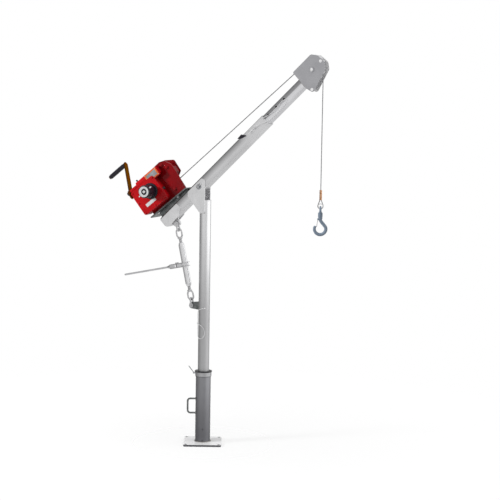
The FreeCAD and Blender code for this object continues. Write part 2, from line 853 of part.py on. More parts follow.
def build_winch_seat():
    plate_y = (frame_near - frame_thick - 2, frame_far + frame_thick + 2)
    seat = box((-mount_length, 0), plate_y, (-mount_plate, 0))
    for u, y in winch_bolt_points():
        seat = seat.cut(Part.makeCylinder(tie_rod / 2, mount_plate, Vector(u, y, -mount_plate)))
    node("winch_mount_plate", placed(seat, winch_frame))

    boom_top = boom_outer / 2
    seat_frame = boom_frame.inverse().multiply(winch_frame)
    front = seat_frame.multVec(Vector(-10, 0, -mount_plate))
    back = seat_frame.multVec(Vector(-mount_length + 50, 0, -mount_plate))
    outline = [(front.x, boom_top, 0), (front.x, front.z, 0), (back.x, back.z, 0), (back.x, boom_top, 0)]
    wedge = boom_outer / 7
    wedges = [plate(outline, pair) for pair in ((-wedge - 8, -wedge), (wedge, wedge + 8))]
    node("winch_brackets", *[placed(w, boom_frame) for w in wedges])

    bolts = []
    for u, y in winch_bolt_points():
        length = 2 * mount_plate + frame_thick
        shank = Part.makeCylinder(tie_rod / 2, length, Vector(u, y, -1.8 * mount_plate))
        head = Part.makePolygon(hexagon(tie_nut / 2, u, y, frame_thick))
        nut = Part.makePolygon(hexagon(tie_nut / 2, u, y, -1.75 * mount_plate))
        head = Part.Face(head).extrude(Vector(0, 0, tie_nut_thick))
        nut = Part.Face(nut).extrude(Vector(0, 0, 0.75 * mount_plate))
        bolts.append(placed(shank.fuse(head).fuse(nut).removeSplitter(), winch_frame))
    node("winch_bolts", *bolts)


def winch_bolt_points():
    near = frame_near + foot * 0.55
    far = frame_far - foot * 0.55
    return [(u, y) for u in (-frame_length * 0.3, -frame_length * 0.9) for y in (near, far)]


def hexagon(radius, x, y, z):
    angles = [math.radians(60 * side) for side in range(7)]
    return [Vector(x + radius * math.cos(a), y + radius * math.sin(a), z) for a in angles]


def frame_wall(outline, y_range, foot_range):
    """A side frame with its foot flange, tie-rod holes and bolt holes."""
    wall = plate(outline, y_range)
    front = outline[1][0] - foot / 2
    wall = wall.fuse(box((-frame_length, front), foot_range, (0, frame_thick))).removeSplitter()
    for u, v in tie_points():
        wall = wall.cut(cross_rod(tie_rod / 2, u, v, y_range))
    for u, y in winch_bolt_points():
        wall = wall.cut(Part.makeCylinder(tie_rod / 2, frame_thick, Vector(u, y, 0)))
    return wall


def worm_line(radius, start_u, end_u):
    """A rod on the worm's axis."""
    return rod(radius, Vector(start_u, worm_y, worm_v), Vector(end_u, worm_y, worm_v))


def build_winch_case():
    shaft_bore = drum_shaft / 2 + running_fit
    back = (frame_near - frame_thick, frame_near)
    shell = rounded_box((case_tail, case_nose), (case_front, back[1]), (case_low, case_top), case_round)
    hollow = rounded_box(
        (case_tail + case_wall, case_nose - case_wall), (case_front, back[0]),
        (case_low + case_wall, case_top - case_wall), case_round - case_wall,
    )
    wall = frame_wall(near_outline(), back, (frame_near, frame_near + foot))
    tunnel = worm_line(worm_tunnel, worm_neck_nose, worm_tunnel_nose)
    tunnel_bore = worm_line(
        worm_tunnel - case_wall * 0.3, worm_neck_nose + case_wall, worm_tunnel_nose - case_wall
    )
    neck = worm_line(worm_neck, case_tail, worm_neck_nose)
    wheel_half = wheel_width / 2 + 2
    wheel_y = (worm_y - wheel_half, worm_y + wheel_half)
    throat = box((drum_u - wheel_tip, drum_u + wheel_tip), wheel_y, (drum_v, worm_v))
    throat = throat.common(cross_rod(wheel_tip + 2, drum_u, drum_v, wheel_y))
    case = wall.fuse([shell, tunnel, neck]).cut(hollow).cut(tunnel_bore).cut(throat)
    case = case.cut(cross_rod(shaft_bore, drum_u, drum_v, back))
    worm_bore = worm_shaft / 2 + running_fit
    case = case.cut(worm_line(worm_bore, case_tail, worm_tunnel_nose - 2))
    node("gear_case", placed(case.removeSplitter(), winch_frame))

    cover = rounded_box(
        (case_tail, case_nose), (case_front - cover_thick, case_front), (case_low, case_top), case_round
    )
    boss = cross_rod(cover_boss, drum_u, drum_v, (case_front - 2 * cover_thick, case_front - cover_thick))
    cover = cover.fuse(boss)
    cover = cover.cut(cross_rod(shaft_bore, drum_u, drum_v, (case_front - 2 * cover_thick, case_front)))
    node("gear_case_cover", placed(cover.removeSplitter(), winch_frame))

    outside = (frame_far, frame_far + frame_thick)
    far = frame_wall(far_outline(), outside, (frame_far - foot, frame_far))
    boss = cross_rod(drum_shaft, drum_u, drum_v, (outside[1], outside[1] + frame_thick))
    far = far.fuse(boss).cut(cross_rod(shaft_bore, drum_u, drum_v, (outside[0], outside[1] + frame_thick)))
    node("far_side_frame", placed(far.removeSplitter(), winch_frame))


def build_shroud():
    """The sheet cover between the frames, open below and with a window for the rope."""
    face = rounded_face(shroud_outline(), frame_near)
    across = Vector(0, frame_far - frame_near, 0)
    cover = face.extrude(across).cut(face.makeOffset2D(-shroud_sheet).extrude(across))
    inside = (frame_near, frame_far)
    cover = cover.cut(box((-mount_length, mount_length), inside, (0, frame_thick + tie_nut_thick + 2)))
    window = box((-60, 0), (frame_near + 18, frame_far - 18), (56, 140))
    node("drum_shroud", placed(cover.cut(window), winch_frame))

    rods = []
    near = frame_near - frame_thick
    far = frame_far + frame_thick
    for u, v in tie_points():
        bar = cross_rod(tie_rod / 2, u, v, (near - tie_nut_thick, far + tie_nut_thick))
        for y_range in ((near - tie_nut_thick, near), (far, far + tie_nut_thick)):
            bar = bar.fuse(cross_rod(tie_nut / 2, u, v, y_range))
        rods.append(placed(bar.removeSplitter(), winch_frame))
    node("tie_rods", *rods)


def build_drum():
    flange_near = frame_near + 4
    flange_far = frame_far - 4
    low = flange_near + drum_flange_thick
    high = flange_far - drum_flange_thick
    bore = drum_shaft / 2
    spool = turned_y([
        (bore, flange_near), (drum_flange, flange_near), (drum_flange, low), (drum_barrel, low),
        (drum_barrel, high), (drum_flange, high), (drum_flange, flange_far), (bore, flange_far),
    ])
    node("drum", placed(spool, drum_frame))
    near_end = case_front - 2 * cover_thick - clutch_gap - clutch_length / 2
    node("drum_shaft", placed(cross_rod(bore, 0, 0, (near_end, frame_far + 2 * frame_thick)), drum_frame))

    half = wheel_width / 2
    root = wheel_tip - tooth_depth
    wheel = cross_rod(root, 0, 0, (worm_y - half, worm_y + half))
    pitch = 2 * math.pi * wheel_tip / wheel_teeth
    tooth = plate(
        [(root - 1, -pitch * 0.35, 0), (wheel_tip, -pitch * 0.15, 0), (wheel_tip, pitch * 0.15, 0),
         (root - 1, pitch * 0.35, 0)], (worm_y - half, worm_y + half),
    )
    ring = cross_rod(wheel_tip, 0, 0, (worm_y - half, worm_y + half))
    teeth = []
    for index in range(wheel_teeth):
        copy = tooth.copy()
        copy.rotate(Vector(), along_y, (index + 0.5) * 360 / wheel_teeth)
        teeth.append(copy)
    wheel = wheel.multiFuse(teeth).common(ring).cut(cross_rod(bore, 0, 0, (worm_y - half, worm_y + half)))
    node("worm_wheel", placed(wheel.removeSplitter(), drum_frame))


def build_crank():
    hub_front = case_tail - 2
    hub_back = hub_front - 1.6 * crank_thick
    arm_x = (hub_front - crank_thick, hub_front)
    axis_point = Vector(0, worm_y, worm_v)
    shaft = worm_line(worm_shaft / 2, hub_back, worm_tunnel_nose - case_wall / 2)
    thread = worm_line(worm_radius, drum_u - worm_length / 2, drum_u + worm_length / 2)
    node("worm_shaft", placed(shaft.fuse(thread).removeSplitter(), winch_frame))

    half = crank_width / 2
    arm = box(arm_x, (-half, half), (-crank_tail, crank_radius))
    for z in (-crank_tail, crank_radius):
        arm = arm.fuse(rod(half, Vector(arm_x[0], 0, z), Vector(arm_x[1], 0, z)))
    arm = arm.fuse(rod(crank_hub, Vector(hub_back, 0, 0), Vector(hub_front, 0, 0)))
    arm = arm.cut(rod(worm_shaft / 2, Vector(hub_back, 0, 0), Vector(hub_front, 0, 0)))
    grip_start = Vector(arm_x[0], 0, crank_radius)
    grip_end = grip_start - Vector(grip_length + 2 * running_fit, 0, 0)
    stop = grip_end - Vector(4, 0, 0)
    arm = arm.fuse(rod(grip_pin / 2, grip_start, stop)).fuse(rod(grip_pin * 0.9, grip_end, stop))
    crank_frame = winch_frame.multiply(Placement(axis_point, Rotation(Vector(1, 0, 0), -crank_lean)))
    node("crank_arm", placed(arm.removeSplitter(), crank_frame))

    bore = grip_pin / 2 + turning_fit
    sleeve = turned_z([
        (bore, 0), (grip_radius * 0.8, 0), (grip_radius, grip_length * 0.15),
        (grip_radius, grip_length * 0.85), (grip_radius * 0.85, grip_length), (bore, grip_length),
    ])
    sleeve.rotate(Vector(), along_y, -90)
    sleeve.translate(grip_start - Vector(running_fit, 0, 0))
    node("crank_grip", placed(sleeve, crank_frame))


def build_clutch():
    seat = case_front - 2 * cover_thick - clutch_gap
    face = seat - clutch_length
    bore = drum_shaft / 2 + turning_fit
    middle = seat - clutch_length / 2 - 12
    knob = turned_y([
        (bore, seat), (clutch_radius - 4, seat), (clutch_radius, seat - 6), (clutch_radius, face + 6),
        (clutch_radius - 3, face), (0, face), (0, middle), (bore, middle),
    ])
    bar_y = face + clutch_bar_depth
    bar = rod(clutch_bar / 2, Vector(-clutch_bar_reach, bar_y, 0), Vector(clutch_bar_reach, bar_y, 0))
    node("clutch_knob", placed(knob.fuse(bar).removeSplitter(), drum_frame))
    rim = clutch_cap
    end = face - clutch_cap_thick
    cap = turned_y([
        (0, face), (rim, face), (rim, end), (rim * 0.62, end), (rim * 0.55, face - 1), (rim * 0.3, face - 1),
        (rim * 0.25, end), (0, end),
    ])
    node("clutch_cap", placed(cap, drum_frame))


def shackle():
    """A D shackle with its pin on Y at the origin and its bow towards +Z, and the pin."""
    bar = shackle_bar / 2
    leg = lug_thick / 2 + shackle_side + bar
    crown = shackle_reach - leg
    edges = [
        Part.LineSegment(Vector(0, -leg, 0), Vector(0, -leg, crown)).toShape(),
        Part.Arc(Vector(0, -leg, crown), Vector(0, 0, crown + leg), Vector(0, leg, crown)).toShape(),
        Part.LineSegment(Vector(0, leg, crown), Vector(0, leg, 0)).toShape(),
    ]
    bow = tube_along(edges, bar, along_z)
    pin_end = leg + bar
    for y_range in ((-pin_end, -leg + bar), (leg - bar, pin_end)):
        bow = bow.fuse(cross_rod(shackle_eye, 0, 0, y_range))
    bow = bow.cut(cross_rod(shackle_pin / 2, 0, 0, (-pin_end, pin_end)))
    pin = cross_rod(shackle_pin / 2, 0, 0, (-pin_end - bar, pin_end))
    pin = pin.fuse(cross_rod(shackle_pin * 0.75, 0, 0, (pin_end, pin_end + bar)))
    return bow.removeSplitter(), pin.removeSplitter()


def eye_screw():
    """An oblong forged eye that hooks round a shackle's bow, with its screw towards +Z."""
    bar = eye_bar / 2
    leg = eye_gap / 2 + bar
    low = shackle_reach - shackle_bar / 2 - link_gap - bar + leg
    high = low + eye_straight
    edges = [
        Part.LineSegment(Vector(leg, 0, low), Vector(leg, 0, high)).toShape(),
        Part.Arc(Vector(leg, 0, high), Vector(0, 0, high + leg), Vector(-leg, 0, high)).toShape(),
        Part.LineSegment(Vector(-leg, 0, high), Vector(-leg, 0, low)).toShape(),
        Part.Arc(Vector(-leg, 0, low), Vector(0, 0, low - leg), Vector(leg, 0, low)).toShape(),
    ]
    ring = tube_along(edges, bar, along_z)
    top = high + leg
    neck = top + bar
    collar = turned_z([
        (0, top - bar / 2), (screw_shoulder, top - bar / 2), (screw_shoulder, top + bar),
        (screw_od / 2, neck + bar), (0, neck + bar),
    ])
    stem = Part.makeCylinder(screw_od / 2, screw_length, Vector(0, 0, neck))
    return ring.fuse(collar).fuse(stem).removeSplitter(), neck + bar


def build_jack():
    half_thick = lug_thick / 2
    pin_hole = shackle_pin / 2 + turning_fit
    tip = lug_x - lug_round
    tongue = [
        (0, lug_z - 1.6 * lug_round, 0), (0, lug_z + 1.6 * lug_round, 0),
        (tip, lug_z + lug_round, 0.9 * lug_round), (tip, lug_z - lug_round, 0.9 * lug_round),
    ]
    lug = plate(tongue, (-half_thick, half_thick)).cut(Part.makeCylinder(mast_radius, mast_top))
    node("jack_lug", lug.cut(cross_rod(pin_hole, lug_x, lug_z, (-half_thick, half_thick))))

    bow, pin = shackle()
    screw, neck = eye_screw()
    node("lower_shackle", placed(bow, jack_frame))
    node("lower_shackle_pin", placed(pin, jack_frame))
    node("jack_lower_screw", placed(screw, jack_frame))
    node("upper_shackle", placed(bow, upper_jack_frame))
    node("upper_shackle_pin", placed(pin, upper_jack_frame))
    node("jack_upper_screw", placed(screw, upper_jack_frame))

    low = neck + barrel_end_gap
    high = jack_length - low
    middle = jack_length / 2
    bore = screw_od / 2 + screw_fit
    radius = barrel_od / 2
    taper = barrel_od * 0.45
    barrel = turned_z([
        (bore, low), (radius * 0.75, low), (radius, low + taper), (radius, high - taper),
        (radius * 0.75, high), (bore, high),
    ])
    wheel_z = (middle - ratchet_width / 2, middle + ratchet_width / 2)
    wheel = turned_z([
        (bore, wheel_z[0]), (ratchet_od / 2, wheel_z[0]), (ratchet_od / 2, wheel_z[1]), (bore, wheel_z[1]),
    ])
    for index in range(ratchet_teeth):
        notch = Part.makeCylinder(ratchet_notch, ratchet_width, Vector(ratchet_od / 2, 0, wheel_z[0]))
        notch.rotate(Vector(), along_z, index * 360 / ratchet_teeth)
        wheel = wheel.cut(notch)
    node("jack_barrel", placed(barrel.fuse(wheel).removeSplitter(), jack_frame))
    build_ratchet(middle)


def build_ratchet(middle):
    """The forked lever on the barrel's ratchet wheel, pointing away from the mast, and its pawl."""
    gap = ratchet_width / 2 + side_play
    hole = barrel_od / 2 + side_play
    outside = gap + fork_plate
    sides = []
    taper = fork_ring * 0.45
    for low, high in ((-outside, -gap), (gap, outside)):
        ring = Part.makeCylinder(fork_ring, fork_plate, Vector(0, 0, low))
        outline = [
            Vector(0, -fork_ring, low), Vector(-fork_reach, -taper, low), Vector(-fork_reach, taper, low),
            Vector(0, fork_ring, low),
        ]
        arm = Part.Face(Part.makePolygon(outline + outline[:1])).extrude(Vector(0, 0, high - low))
        sides.append(ring.fuse(arm).cut(Part.makeCylinder(hole, fork_plate, Vector(0, 0, low))))
    block = box((-fork_reach, -fork_reach + fork_block), (-taper, taper), (-outside, outside))
    grip_root = Vector(-fork_reach, 0, 0)
    nose = Part.makeCone(taper, lever_rod / 2, 2 * lever_rod, grip_root, Vector(-1, 0, 0))
    grip_end = Vector(-lever_reach, 0, 0)
    lever = rod(lever_rod / 2, grip_root, grip_end).fuse(Part.makeSphere(lever_rod / 2, grip_end))
    handle = sides[0].fuse([sides[1], block, nose, lever]).removeSplitter()
    pivot_radius = lever_rod / 2
    pivot = Vector(-pawl_pivot, 0, -outside)
    handle = handle.cut(Part.makeCylinder(pivot_radius + turning_fit, 2 * outside, pivot))
    frame = jack_frame.multiply(Placement(Vector(0, 0, middle), Rotation()))
    node("ratchet_handle", placed(handle, frame))

    thick = gap - side_play
    tooth = -ratchet_od / 2 - side_play
    outline = [
        Vector(tooth, -4, -thick), Vector(tooth, 4, -thick), Vector(-pawl_pivot, 10, -thick),
        Vector(-pawl_pivot - 14, 0, -thick), Vector(-pawl_pivot, -10, -thick),
    ]
    pawl = Part.Face(Part.makePolygon(outline + outline[:1])).extrude(Vector(0, 0, 2 * thick))
    knob = Part.makeCylinder(1.8 * pivot_radius, fork_plate, Vector(-pawl_pivot, 0, outside + side_play))
    post = Part.makeCylinder(pivot_radius, 2 * outside + side_play, pivot)
    node("ratchet_pawl", placed(pawl.fuse(post).fuse(knob).removeSplitter(), frame))


def build_tail():
    """Side plates at the boom's tail and the lug under it that the jack's upper shackle hangs from."""
    half = boom_outer / 2
    side = [
        (boom_tail - 6, half - 8, 6), (boom_tail - 6, -half + 6, 20), (boom_tail + 20, -half - 10, 14),
        (tail_lug_beta + 60, -half - 4, 14), (tail_lug_beta + 108, -half + 26, 12),
        (tail_lug_beta + 104, half - 8, 6),
    ]
    walls = [plate(side, pair) for pair in ((-half - 5, -half), (half, half + 5))]
    half_thick = lug_thick / 2
    low = tail_lug_nu - lug_round
    wide = 1.6 * lug_round
    tongue = [
        (tail_lug_beta - wide, -half, 0), (tail_lug_beta - lug_round, low, 0.9 * lug_round),
        (tail_lug_beta + lug_round, low, 0.9 * lug_round), (tail_lug_beta + wide, -half, 0),
    ]
    lug_y = (-half_thick, half_thick)
    pin_hole = cross_rod(shackle_pin / 2 + turning_fit, tail_lug_beta, tail_lug_nu, lug_y)
    walls.append(plate(tongue, lug_y).cut(pin_hole))
    node("tail_plates", *[placed(wall, boom_frame) for wall in walls])


def build_lanyards():
    half = boom_outer / 2
    tab = [(421, half + 6, 2), (443, half - 11, 2), (490, half - 26, 3), (464, half + 9, 3)]
    node("lanyard_tab", placed(plate(tab, (-half - lanyard_wire, -half)), boom_frame))
    pull_y = -half - turning_fit - 2 * extension_pin
    pull_end = extension_beta + 2 * extension_pin + turning_fit
    route = [
        Vector(pull_end, pull_y, extension_nu), Vector(590, pull_y + 2, 9), Vector(622, -57, -2),
        Vector(655, -52, -17), Vector(698, -50, -26), Vector(745, -50, -25), Vector(790, -50, -21),
        Vector(826, -50, -14), Vector(846, -50, -8), Vector(852, -50, 2), Vector(842, -50, 11),
        Vector(818, -50, 13), Vector(784, -50, 10), Vector(742, -50, 8), Vector(704, -48, 10),
        Vector(674, -46, 15), Vector(650, -45, 18),
    ]
    wire = cord("pin lanyard", route, lanyard_wire / 2)
    last = route[-1]
    stud_beta = last.x - 2 * lanyard_wire
    stud = cross_rod(lanyard_wire, stud_beta, last.z, (-half - 4 * lanyard_wire, -half))
    tail = rod(lanyard_wire / 2, last, Vector(stud_beta, last.y, last.z))
    wire = wire.fuse(tail).removeSplitter().cut(stud)
    node("pin_lanyard", placed(wire, boom_frame), placed(stud, boom_frame))

    stand_off = mast_radius + lanyard_wire + 2
    turns = [
        (294, 927), (266, 923), (238, 916), (213, 900), (204, 862), (204, 806), (208, 752), (226, 727),
        (252, 719), (278, 727), (292, 752), (284, 786), (258, 806), (230, 814),
    ]
    route = []
    for angle, height in turns:
        turn = math.radians(angle)
        route.append(Vector(stand_off * math.cos(turn), stand_off * math.sin(turn), height))
    wire = cord("mast lanyard", route, lanyard_wire / 2)
    stud_way = Vector(math.cos(math.radians(turns[0][0] + 5)), math.sin(math.radians(turns[0][0] + 5)), 0)
    stud_low = stud_way * (mast_radius - mast_wall / 2) + Vector(0, 0, turns[0][1] + 1)
    stud = rod(lanyard_wire, stud_low, stud_low + stud_way * (mast_wall + 3 * lanyard_wire))
    stud = stud.cut(Part.makeCylinder(mast_radius, mast_top))
    clasp_way = (route[-1] - route[-2]).normalize()
    clasp = rod(lanyard_wire, route[-1] - clasp_way * 2, route[-1] + clasp_way * 12)
    node("mast_lanyard", wire.cut(stud).fuse(clasp).removeSplitter(), stud)


build_base()
build_pedestal()
build_carry_handle()
build_slew_lock()
build_mast()
build_pivot_pin()
build_boom_tubes()
build_extension_pin()
build_boom_head()
build_sheave()
build_rope()
build_hook_block()
build_winch_seat()
build_winch_case()
build_shroud()
build_drum()
build_crank()
build_clutch()
build_jack()
build_tail()
build_lanyards()

os.makedirs("parts", exist_ok=True)
for name, shape in nodes.items():
    shape.exportStep(f"parts/{name}.step")
print(len(nodes), "nodes, jack", round(jack_length, 1), "mm at", round(jack_lean, 2), "degrees")
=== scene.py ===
import json
import math

import bmesh
import bpy
from mathutils import Matrix, Vector
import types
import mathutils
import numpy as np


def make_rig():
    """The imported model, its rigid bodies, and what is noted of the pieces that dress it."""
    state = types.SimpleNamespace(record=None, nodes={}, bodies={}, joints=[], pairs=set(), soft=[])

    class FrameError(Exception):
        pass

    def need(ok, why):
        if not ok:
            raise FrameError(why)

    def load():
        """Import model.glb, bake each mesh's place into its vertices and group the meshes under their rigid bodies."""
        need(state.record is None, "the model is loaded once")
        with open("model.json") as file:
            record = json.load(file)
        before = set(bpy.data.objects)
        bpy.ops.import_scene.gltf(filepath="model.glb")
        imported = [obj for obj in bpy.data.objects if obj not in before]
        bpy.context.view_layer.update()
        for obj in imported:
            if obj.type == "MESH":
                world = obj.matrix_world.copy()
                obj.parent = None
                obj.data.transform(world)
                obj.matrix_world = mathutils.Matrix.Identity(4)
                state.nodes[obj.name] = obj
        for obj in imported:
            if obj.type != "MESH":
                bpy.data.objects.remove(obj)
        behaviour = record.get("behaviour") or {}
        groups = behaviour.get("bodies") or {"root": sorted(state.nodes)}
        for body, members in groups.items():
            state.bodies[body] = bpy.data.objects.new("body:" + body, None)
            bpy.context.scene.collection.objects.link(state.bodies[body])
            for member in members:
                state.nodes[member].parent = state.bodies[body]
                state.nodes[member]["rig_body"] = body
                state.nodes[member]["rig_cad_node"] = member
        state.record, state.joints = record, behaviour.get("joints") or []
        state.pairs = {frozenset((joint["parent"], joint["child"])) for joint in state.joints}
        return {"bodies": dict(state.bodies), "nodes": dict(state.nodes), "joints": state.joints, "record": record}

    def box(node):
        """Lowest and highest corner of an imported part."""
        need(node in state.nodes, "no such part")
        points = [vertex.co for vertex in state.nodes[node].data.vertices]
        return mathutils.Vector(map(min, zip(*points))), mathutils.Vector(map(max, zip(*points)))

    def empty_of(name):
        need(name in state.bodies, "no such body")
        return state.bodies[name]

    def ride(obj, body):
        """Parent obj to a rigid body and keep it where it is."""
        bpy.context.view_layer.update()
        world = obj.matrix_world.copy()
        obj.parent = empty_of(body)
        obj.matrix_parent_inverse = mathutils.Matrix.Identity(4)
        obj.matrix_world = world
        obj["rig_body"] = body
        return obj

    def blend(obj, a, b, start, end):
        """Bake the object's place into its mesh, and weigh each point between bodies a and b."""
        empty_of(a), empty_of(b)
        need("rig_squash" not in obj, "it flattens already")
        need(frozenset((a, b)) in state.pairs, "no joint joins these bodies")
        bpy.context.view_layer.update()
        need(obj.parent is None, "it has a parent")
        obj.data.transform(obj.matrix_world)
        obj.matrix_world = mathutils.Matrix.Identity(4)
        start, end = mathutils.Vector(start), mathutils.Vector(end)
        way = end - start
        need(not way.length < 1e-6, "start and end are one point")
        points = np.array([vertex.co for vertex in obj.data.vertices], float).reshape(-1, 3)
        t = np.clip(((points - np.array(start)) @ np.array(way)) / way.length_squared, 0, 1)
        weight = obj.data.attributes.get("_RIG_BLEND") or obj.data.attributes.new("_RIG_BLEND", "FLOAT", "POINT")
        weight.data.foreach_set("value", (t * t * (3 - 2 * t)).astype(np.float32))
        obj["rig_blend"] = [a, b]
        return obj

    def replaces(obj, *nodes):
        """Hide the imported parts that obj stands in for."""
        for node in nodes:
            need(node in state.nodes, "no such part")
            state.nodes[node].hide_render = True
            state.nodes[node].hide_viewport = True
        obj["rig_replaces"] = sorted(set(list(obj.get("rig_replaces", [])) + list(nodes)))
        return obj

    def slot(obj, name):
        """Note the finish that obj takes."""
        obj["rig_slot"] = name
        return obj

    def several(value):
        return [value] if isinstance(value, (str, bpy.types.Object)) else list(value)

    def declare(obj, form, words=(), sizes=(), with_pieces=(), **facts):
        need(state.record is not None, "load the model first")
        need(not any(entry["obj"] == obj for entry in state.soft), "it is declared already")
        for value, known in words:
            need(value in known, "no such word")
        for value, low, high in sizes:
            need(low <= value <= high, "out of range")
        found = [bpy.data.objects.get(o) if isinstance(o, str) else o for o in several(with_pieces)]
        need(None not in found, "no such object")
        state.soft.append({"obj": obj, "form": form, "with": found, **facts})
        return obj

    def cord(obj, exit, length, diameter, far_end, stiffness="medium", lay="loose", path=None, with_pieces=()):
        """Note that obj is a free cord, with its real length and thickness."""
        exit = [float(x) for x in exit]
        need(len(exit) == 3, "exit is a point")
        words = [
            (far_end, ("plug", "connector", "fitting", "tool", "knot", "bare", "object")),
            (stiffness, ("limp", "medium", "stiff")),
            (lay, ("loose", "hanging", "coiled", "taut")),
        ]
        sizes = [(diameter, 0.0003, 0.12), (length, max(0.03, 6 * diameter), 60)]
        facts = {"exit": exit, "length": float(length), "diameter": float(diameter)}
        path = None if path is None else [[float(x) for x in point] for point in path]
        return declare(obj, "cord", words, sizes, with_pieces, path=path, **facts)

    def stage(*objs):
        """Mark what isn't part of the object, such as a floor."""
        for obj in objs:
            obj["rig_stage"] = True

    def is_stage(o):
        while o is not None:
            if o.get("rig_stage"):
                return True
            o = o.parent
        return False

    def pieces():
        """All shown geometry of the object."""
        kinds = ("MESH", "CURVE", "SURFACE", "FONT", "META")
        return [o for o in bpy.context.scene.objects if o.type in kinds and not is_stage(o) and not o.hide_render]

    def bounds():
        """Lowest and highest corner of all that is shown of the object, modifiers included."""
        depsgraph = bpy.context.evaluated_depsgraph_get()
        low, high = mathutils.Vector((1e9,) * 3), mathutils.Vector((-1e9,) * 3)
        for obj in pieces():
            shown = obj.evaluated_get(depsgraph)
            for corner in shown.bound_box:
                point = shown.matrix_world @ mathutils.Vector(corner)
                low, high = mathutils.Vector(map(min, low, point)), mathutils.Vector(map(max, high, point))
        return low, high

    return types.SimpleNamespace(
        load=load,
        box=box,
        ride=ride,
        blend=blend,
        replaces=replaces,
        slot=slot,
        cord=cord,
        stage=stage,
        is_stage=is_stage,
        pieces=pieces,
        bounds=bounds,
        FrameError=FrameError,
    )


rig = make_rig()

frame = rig.load()
cadBox = [list(corner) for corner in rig.bounds()]
nodes = frame["nodes"]
joints = {joint["name"]: joint for joint in frame["joints"]}
print("frame loaded with", len(nodes), "nodes")


# places that the joints give: each is a matrix whose axes follow the piece
def jointPoint(name):
    return Vector(joints[name]["pos_m"])


def turnAlong(axis):
    return Matrix.Rotation(-math.atan2(axis[2], axis[0]), 4, "Y")


def placeAt(joint, turn):
    return Matrix.Translation(jointPoint(joint)) @ turn


def quarter(axis, way=1):
    return Matrix.Rotation(way * math.pi / 2, 4, axis)


boomAxis = joints["boom_extend"]["axis"]
winchAxis = joints["crank_turn"]["axis"]
jackAxis = joints["jack_lower_run"]["axis"]
lockAxis = joints["slew_lock_turn"]["axis"]
latchAxis = joints["latch_swing"]["axis"]
winchOffset = (0.195, 0, -0.122)  # from the drum's axis to the corner that the winch is drawn from
boomPlace = placeAt("boom_luff", turnAlong(boomAxis))
sheavePlace = placeAt("sheave_spin", turnAlong(boomAxis))
drumPlace = placeAt("drum_turn", turnAlong(winchAxis))
crankPlace = placeAt("crank_turn", turnAlong(winchAxis))
gripPlace = placeAt("grip_spin", turnAlong(winchAxis))
winchPlace = drumPlace @ Matrix.Translation(winchOffset)
jackTurn = Matrix.Rotation(math.atan2(jackAxis[0], jackAxis[2]), 4, "Y")
jackPlace = placeAt("jack_swing", jackTurn)
tailPlace = placeAt("upper_shackle_swing", jackTurn) @ Matrix.Rotation(math.pi, 4, "Y")
upright = Matrix.Identity(4)
basePlace = Matrix.Rotation(math.atan2(-lockAxis[1], -lockAxis[0]), 4, "Z")
hookTurn = Matrix.Rotation(math.atan2(latchAxis[0], -latchAxis[1]), 4, "Z")
fallPoint = jointPoint("hook_swivel")
hookPlace = Matrix.Translation((fallPoint.x, fallPoint.y, 0)) @ hookTurn


# pieces are drawn in millimetres in the place of what carries them
def millimetres(place):
    return place @ Matrix.Scale(0.001, 4)


def spotOn(place, point, turn=upright):
    return place @ Matrix.Translation(point) @ turn


# camera at the photograph's angle
cameraSetup = {
    "azimuth": math.radians(23.56),
    "pitch": math.radians(6.22),
    "roll": math.radians(0.91),
    "distance": 10.246,
    "lens": 109.95,
    "sideways": 0.3024,
    "height": 1.3223,
}


def buildCamera(setup):
    azimuth, pitch, roll = setup["azimuth"], setup["pitch"], setup["roll"]
    right = Vector((math.cos(azimuth), math.sin(azimuth), 0))
    back = Vector((right.y * math.cos(pitch), -right.x * math.cos(pitch), math.sin(pitch)))
    level = right * math.cos(roll) + back.cross(right) * math.sin(roll)
    axes = Matrix((level, back.cross(level), back)).transposed().to_4x4()
    target = right * setup["sideways"] + Vector((0, 0, setup["height"]))
    camera = bpy.data.objects.new("camera", bpy.data.cameras.new("camera"))
    camera.data.lens = setup["lens"]
    camera.data.clip_end = 60
    camera.matrix_world = Matrix.Translation(target + back * setup["distance"]) @ axes
    bpy.context.scene.collection.objects.link(camera)
    bpy.context.scene.camera = camera


buildCamera(cameraSetup)
bpy.context.scene.view_settings.view_transform = "Standard"
print("camera set")


# small helpers for node trees, with colours given without their alpha
def addNode(tree, kind, inputs=None, **settings):
    node = tree.nodes.new(kind)
    for name, value in settings.items():
        setattr(node, name, value)
    for name, value in (inputs or {}).items():
        socket = node.inputs[name]
        if isinstance(value, bpy.types.NodeSocket):
            tree.links.new(value, socket)
        else:
            socket.default_value = (*value, 1) if socket.type == "RGBA" else value
    return node


def feed(tree, sockets, values):
    for name, value in values.items():
        tree.links.new(value, sockets[name])


def mixColours(tree, factor, low, high, blend="MIX"):
    inputs = {0: factor, 6: low, 7: high}
    return addNode(tree, "ShaderNodeMix", inputs, data_type="RGBA", blend_type=blend).outputs[2]


def mapRange(tree, value, fromLow, fromHigh, toLow=0.0, toHigh=1.0):
    inputs = {"Value": value, "From Min": fromLow, "From Max": fromHigh, "To Min": toLow, "To Max": toHigh}
    return addNode(tree, "ShaderNodeMapRange", inputs).outputs["Result"]


def multiply(tree, first, second):
    return addNode(tree, "ShaderNodeMath", {0: first, 1: second}, operation="MULTIPLY").outputs[0]


def add(tree, first, second):
    return addNode(tree, "ShaderNodeMath", {0: first, 1: second}, operation="ADD").outputs[0]


def axisOf(tree, vector, axis):
    return addNode(tree, "ShaderNodeSeparateXYZ", {0: vector}).outputs[axis]


def noise(tree, vector, scale, detail):
    inputs = {"Vector": vector, "Scale": scale, "Detail": detail}
    return addNode(tree, "ShaderNodeTexNoise", inputs).outputs["Fac"]


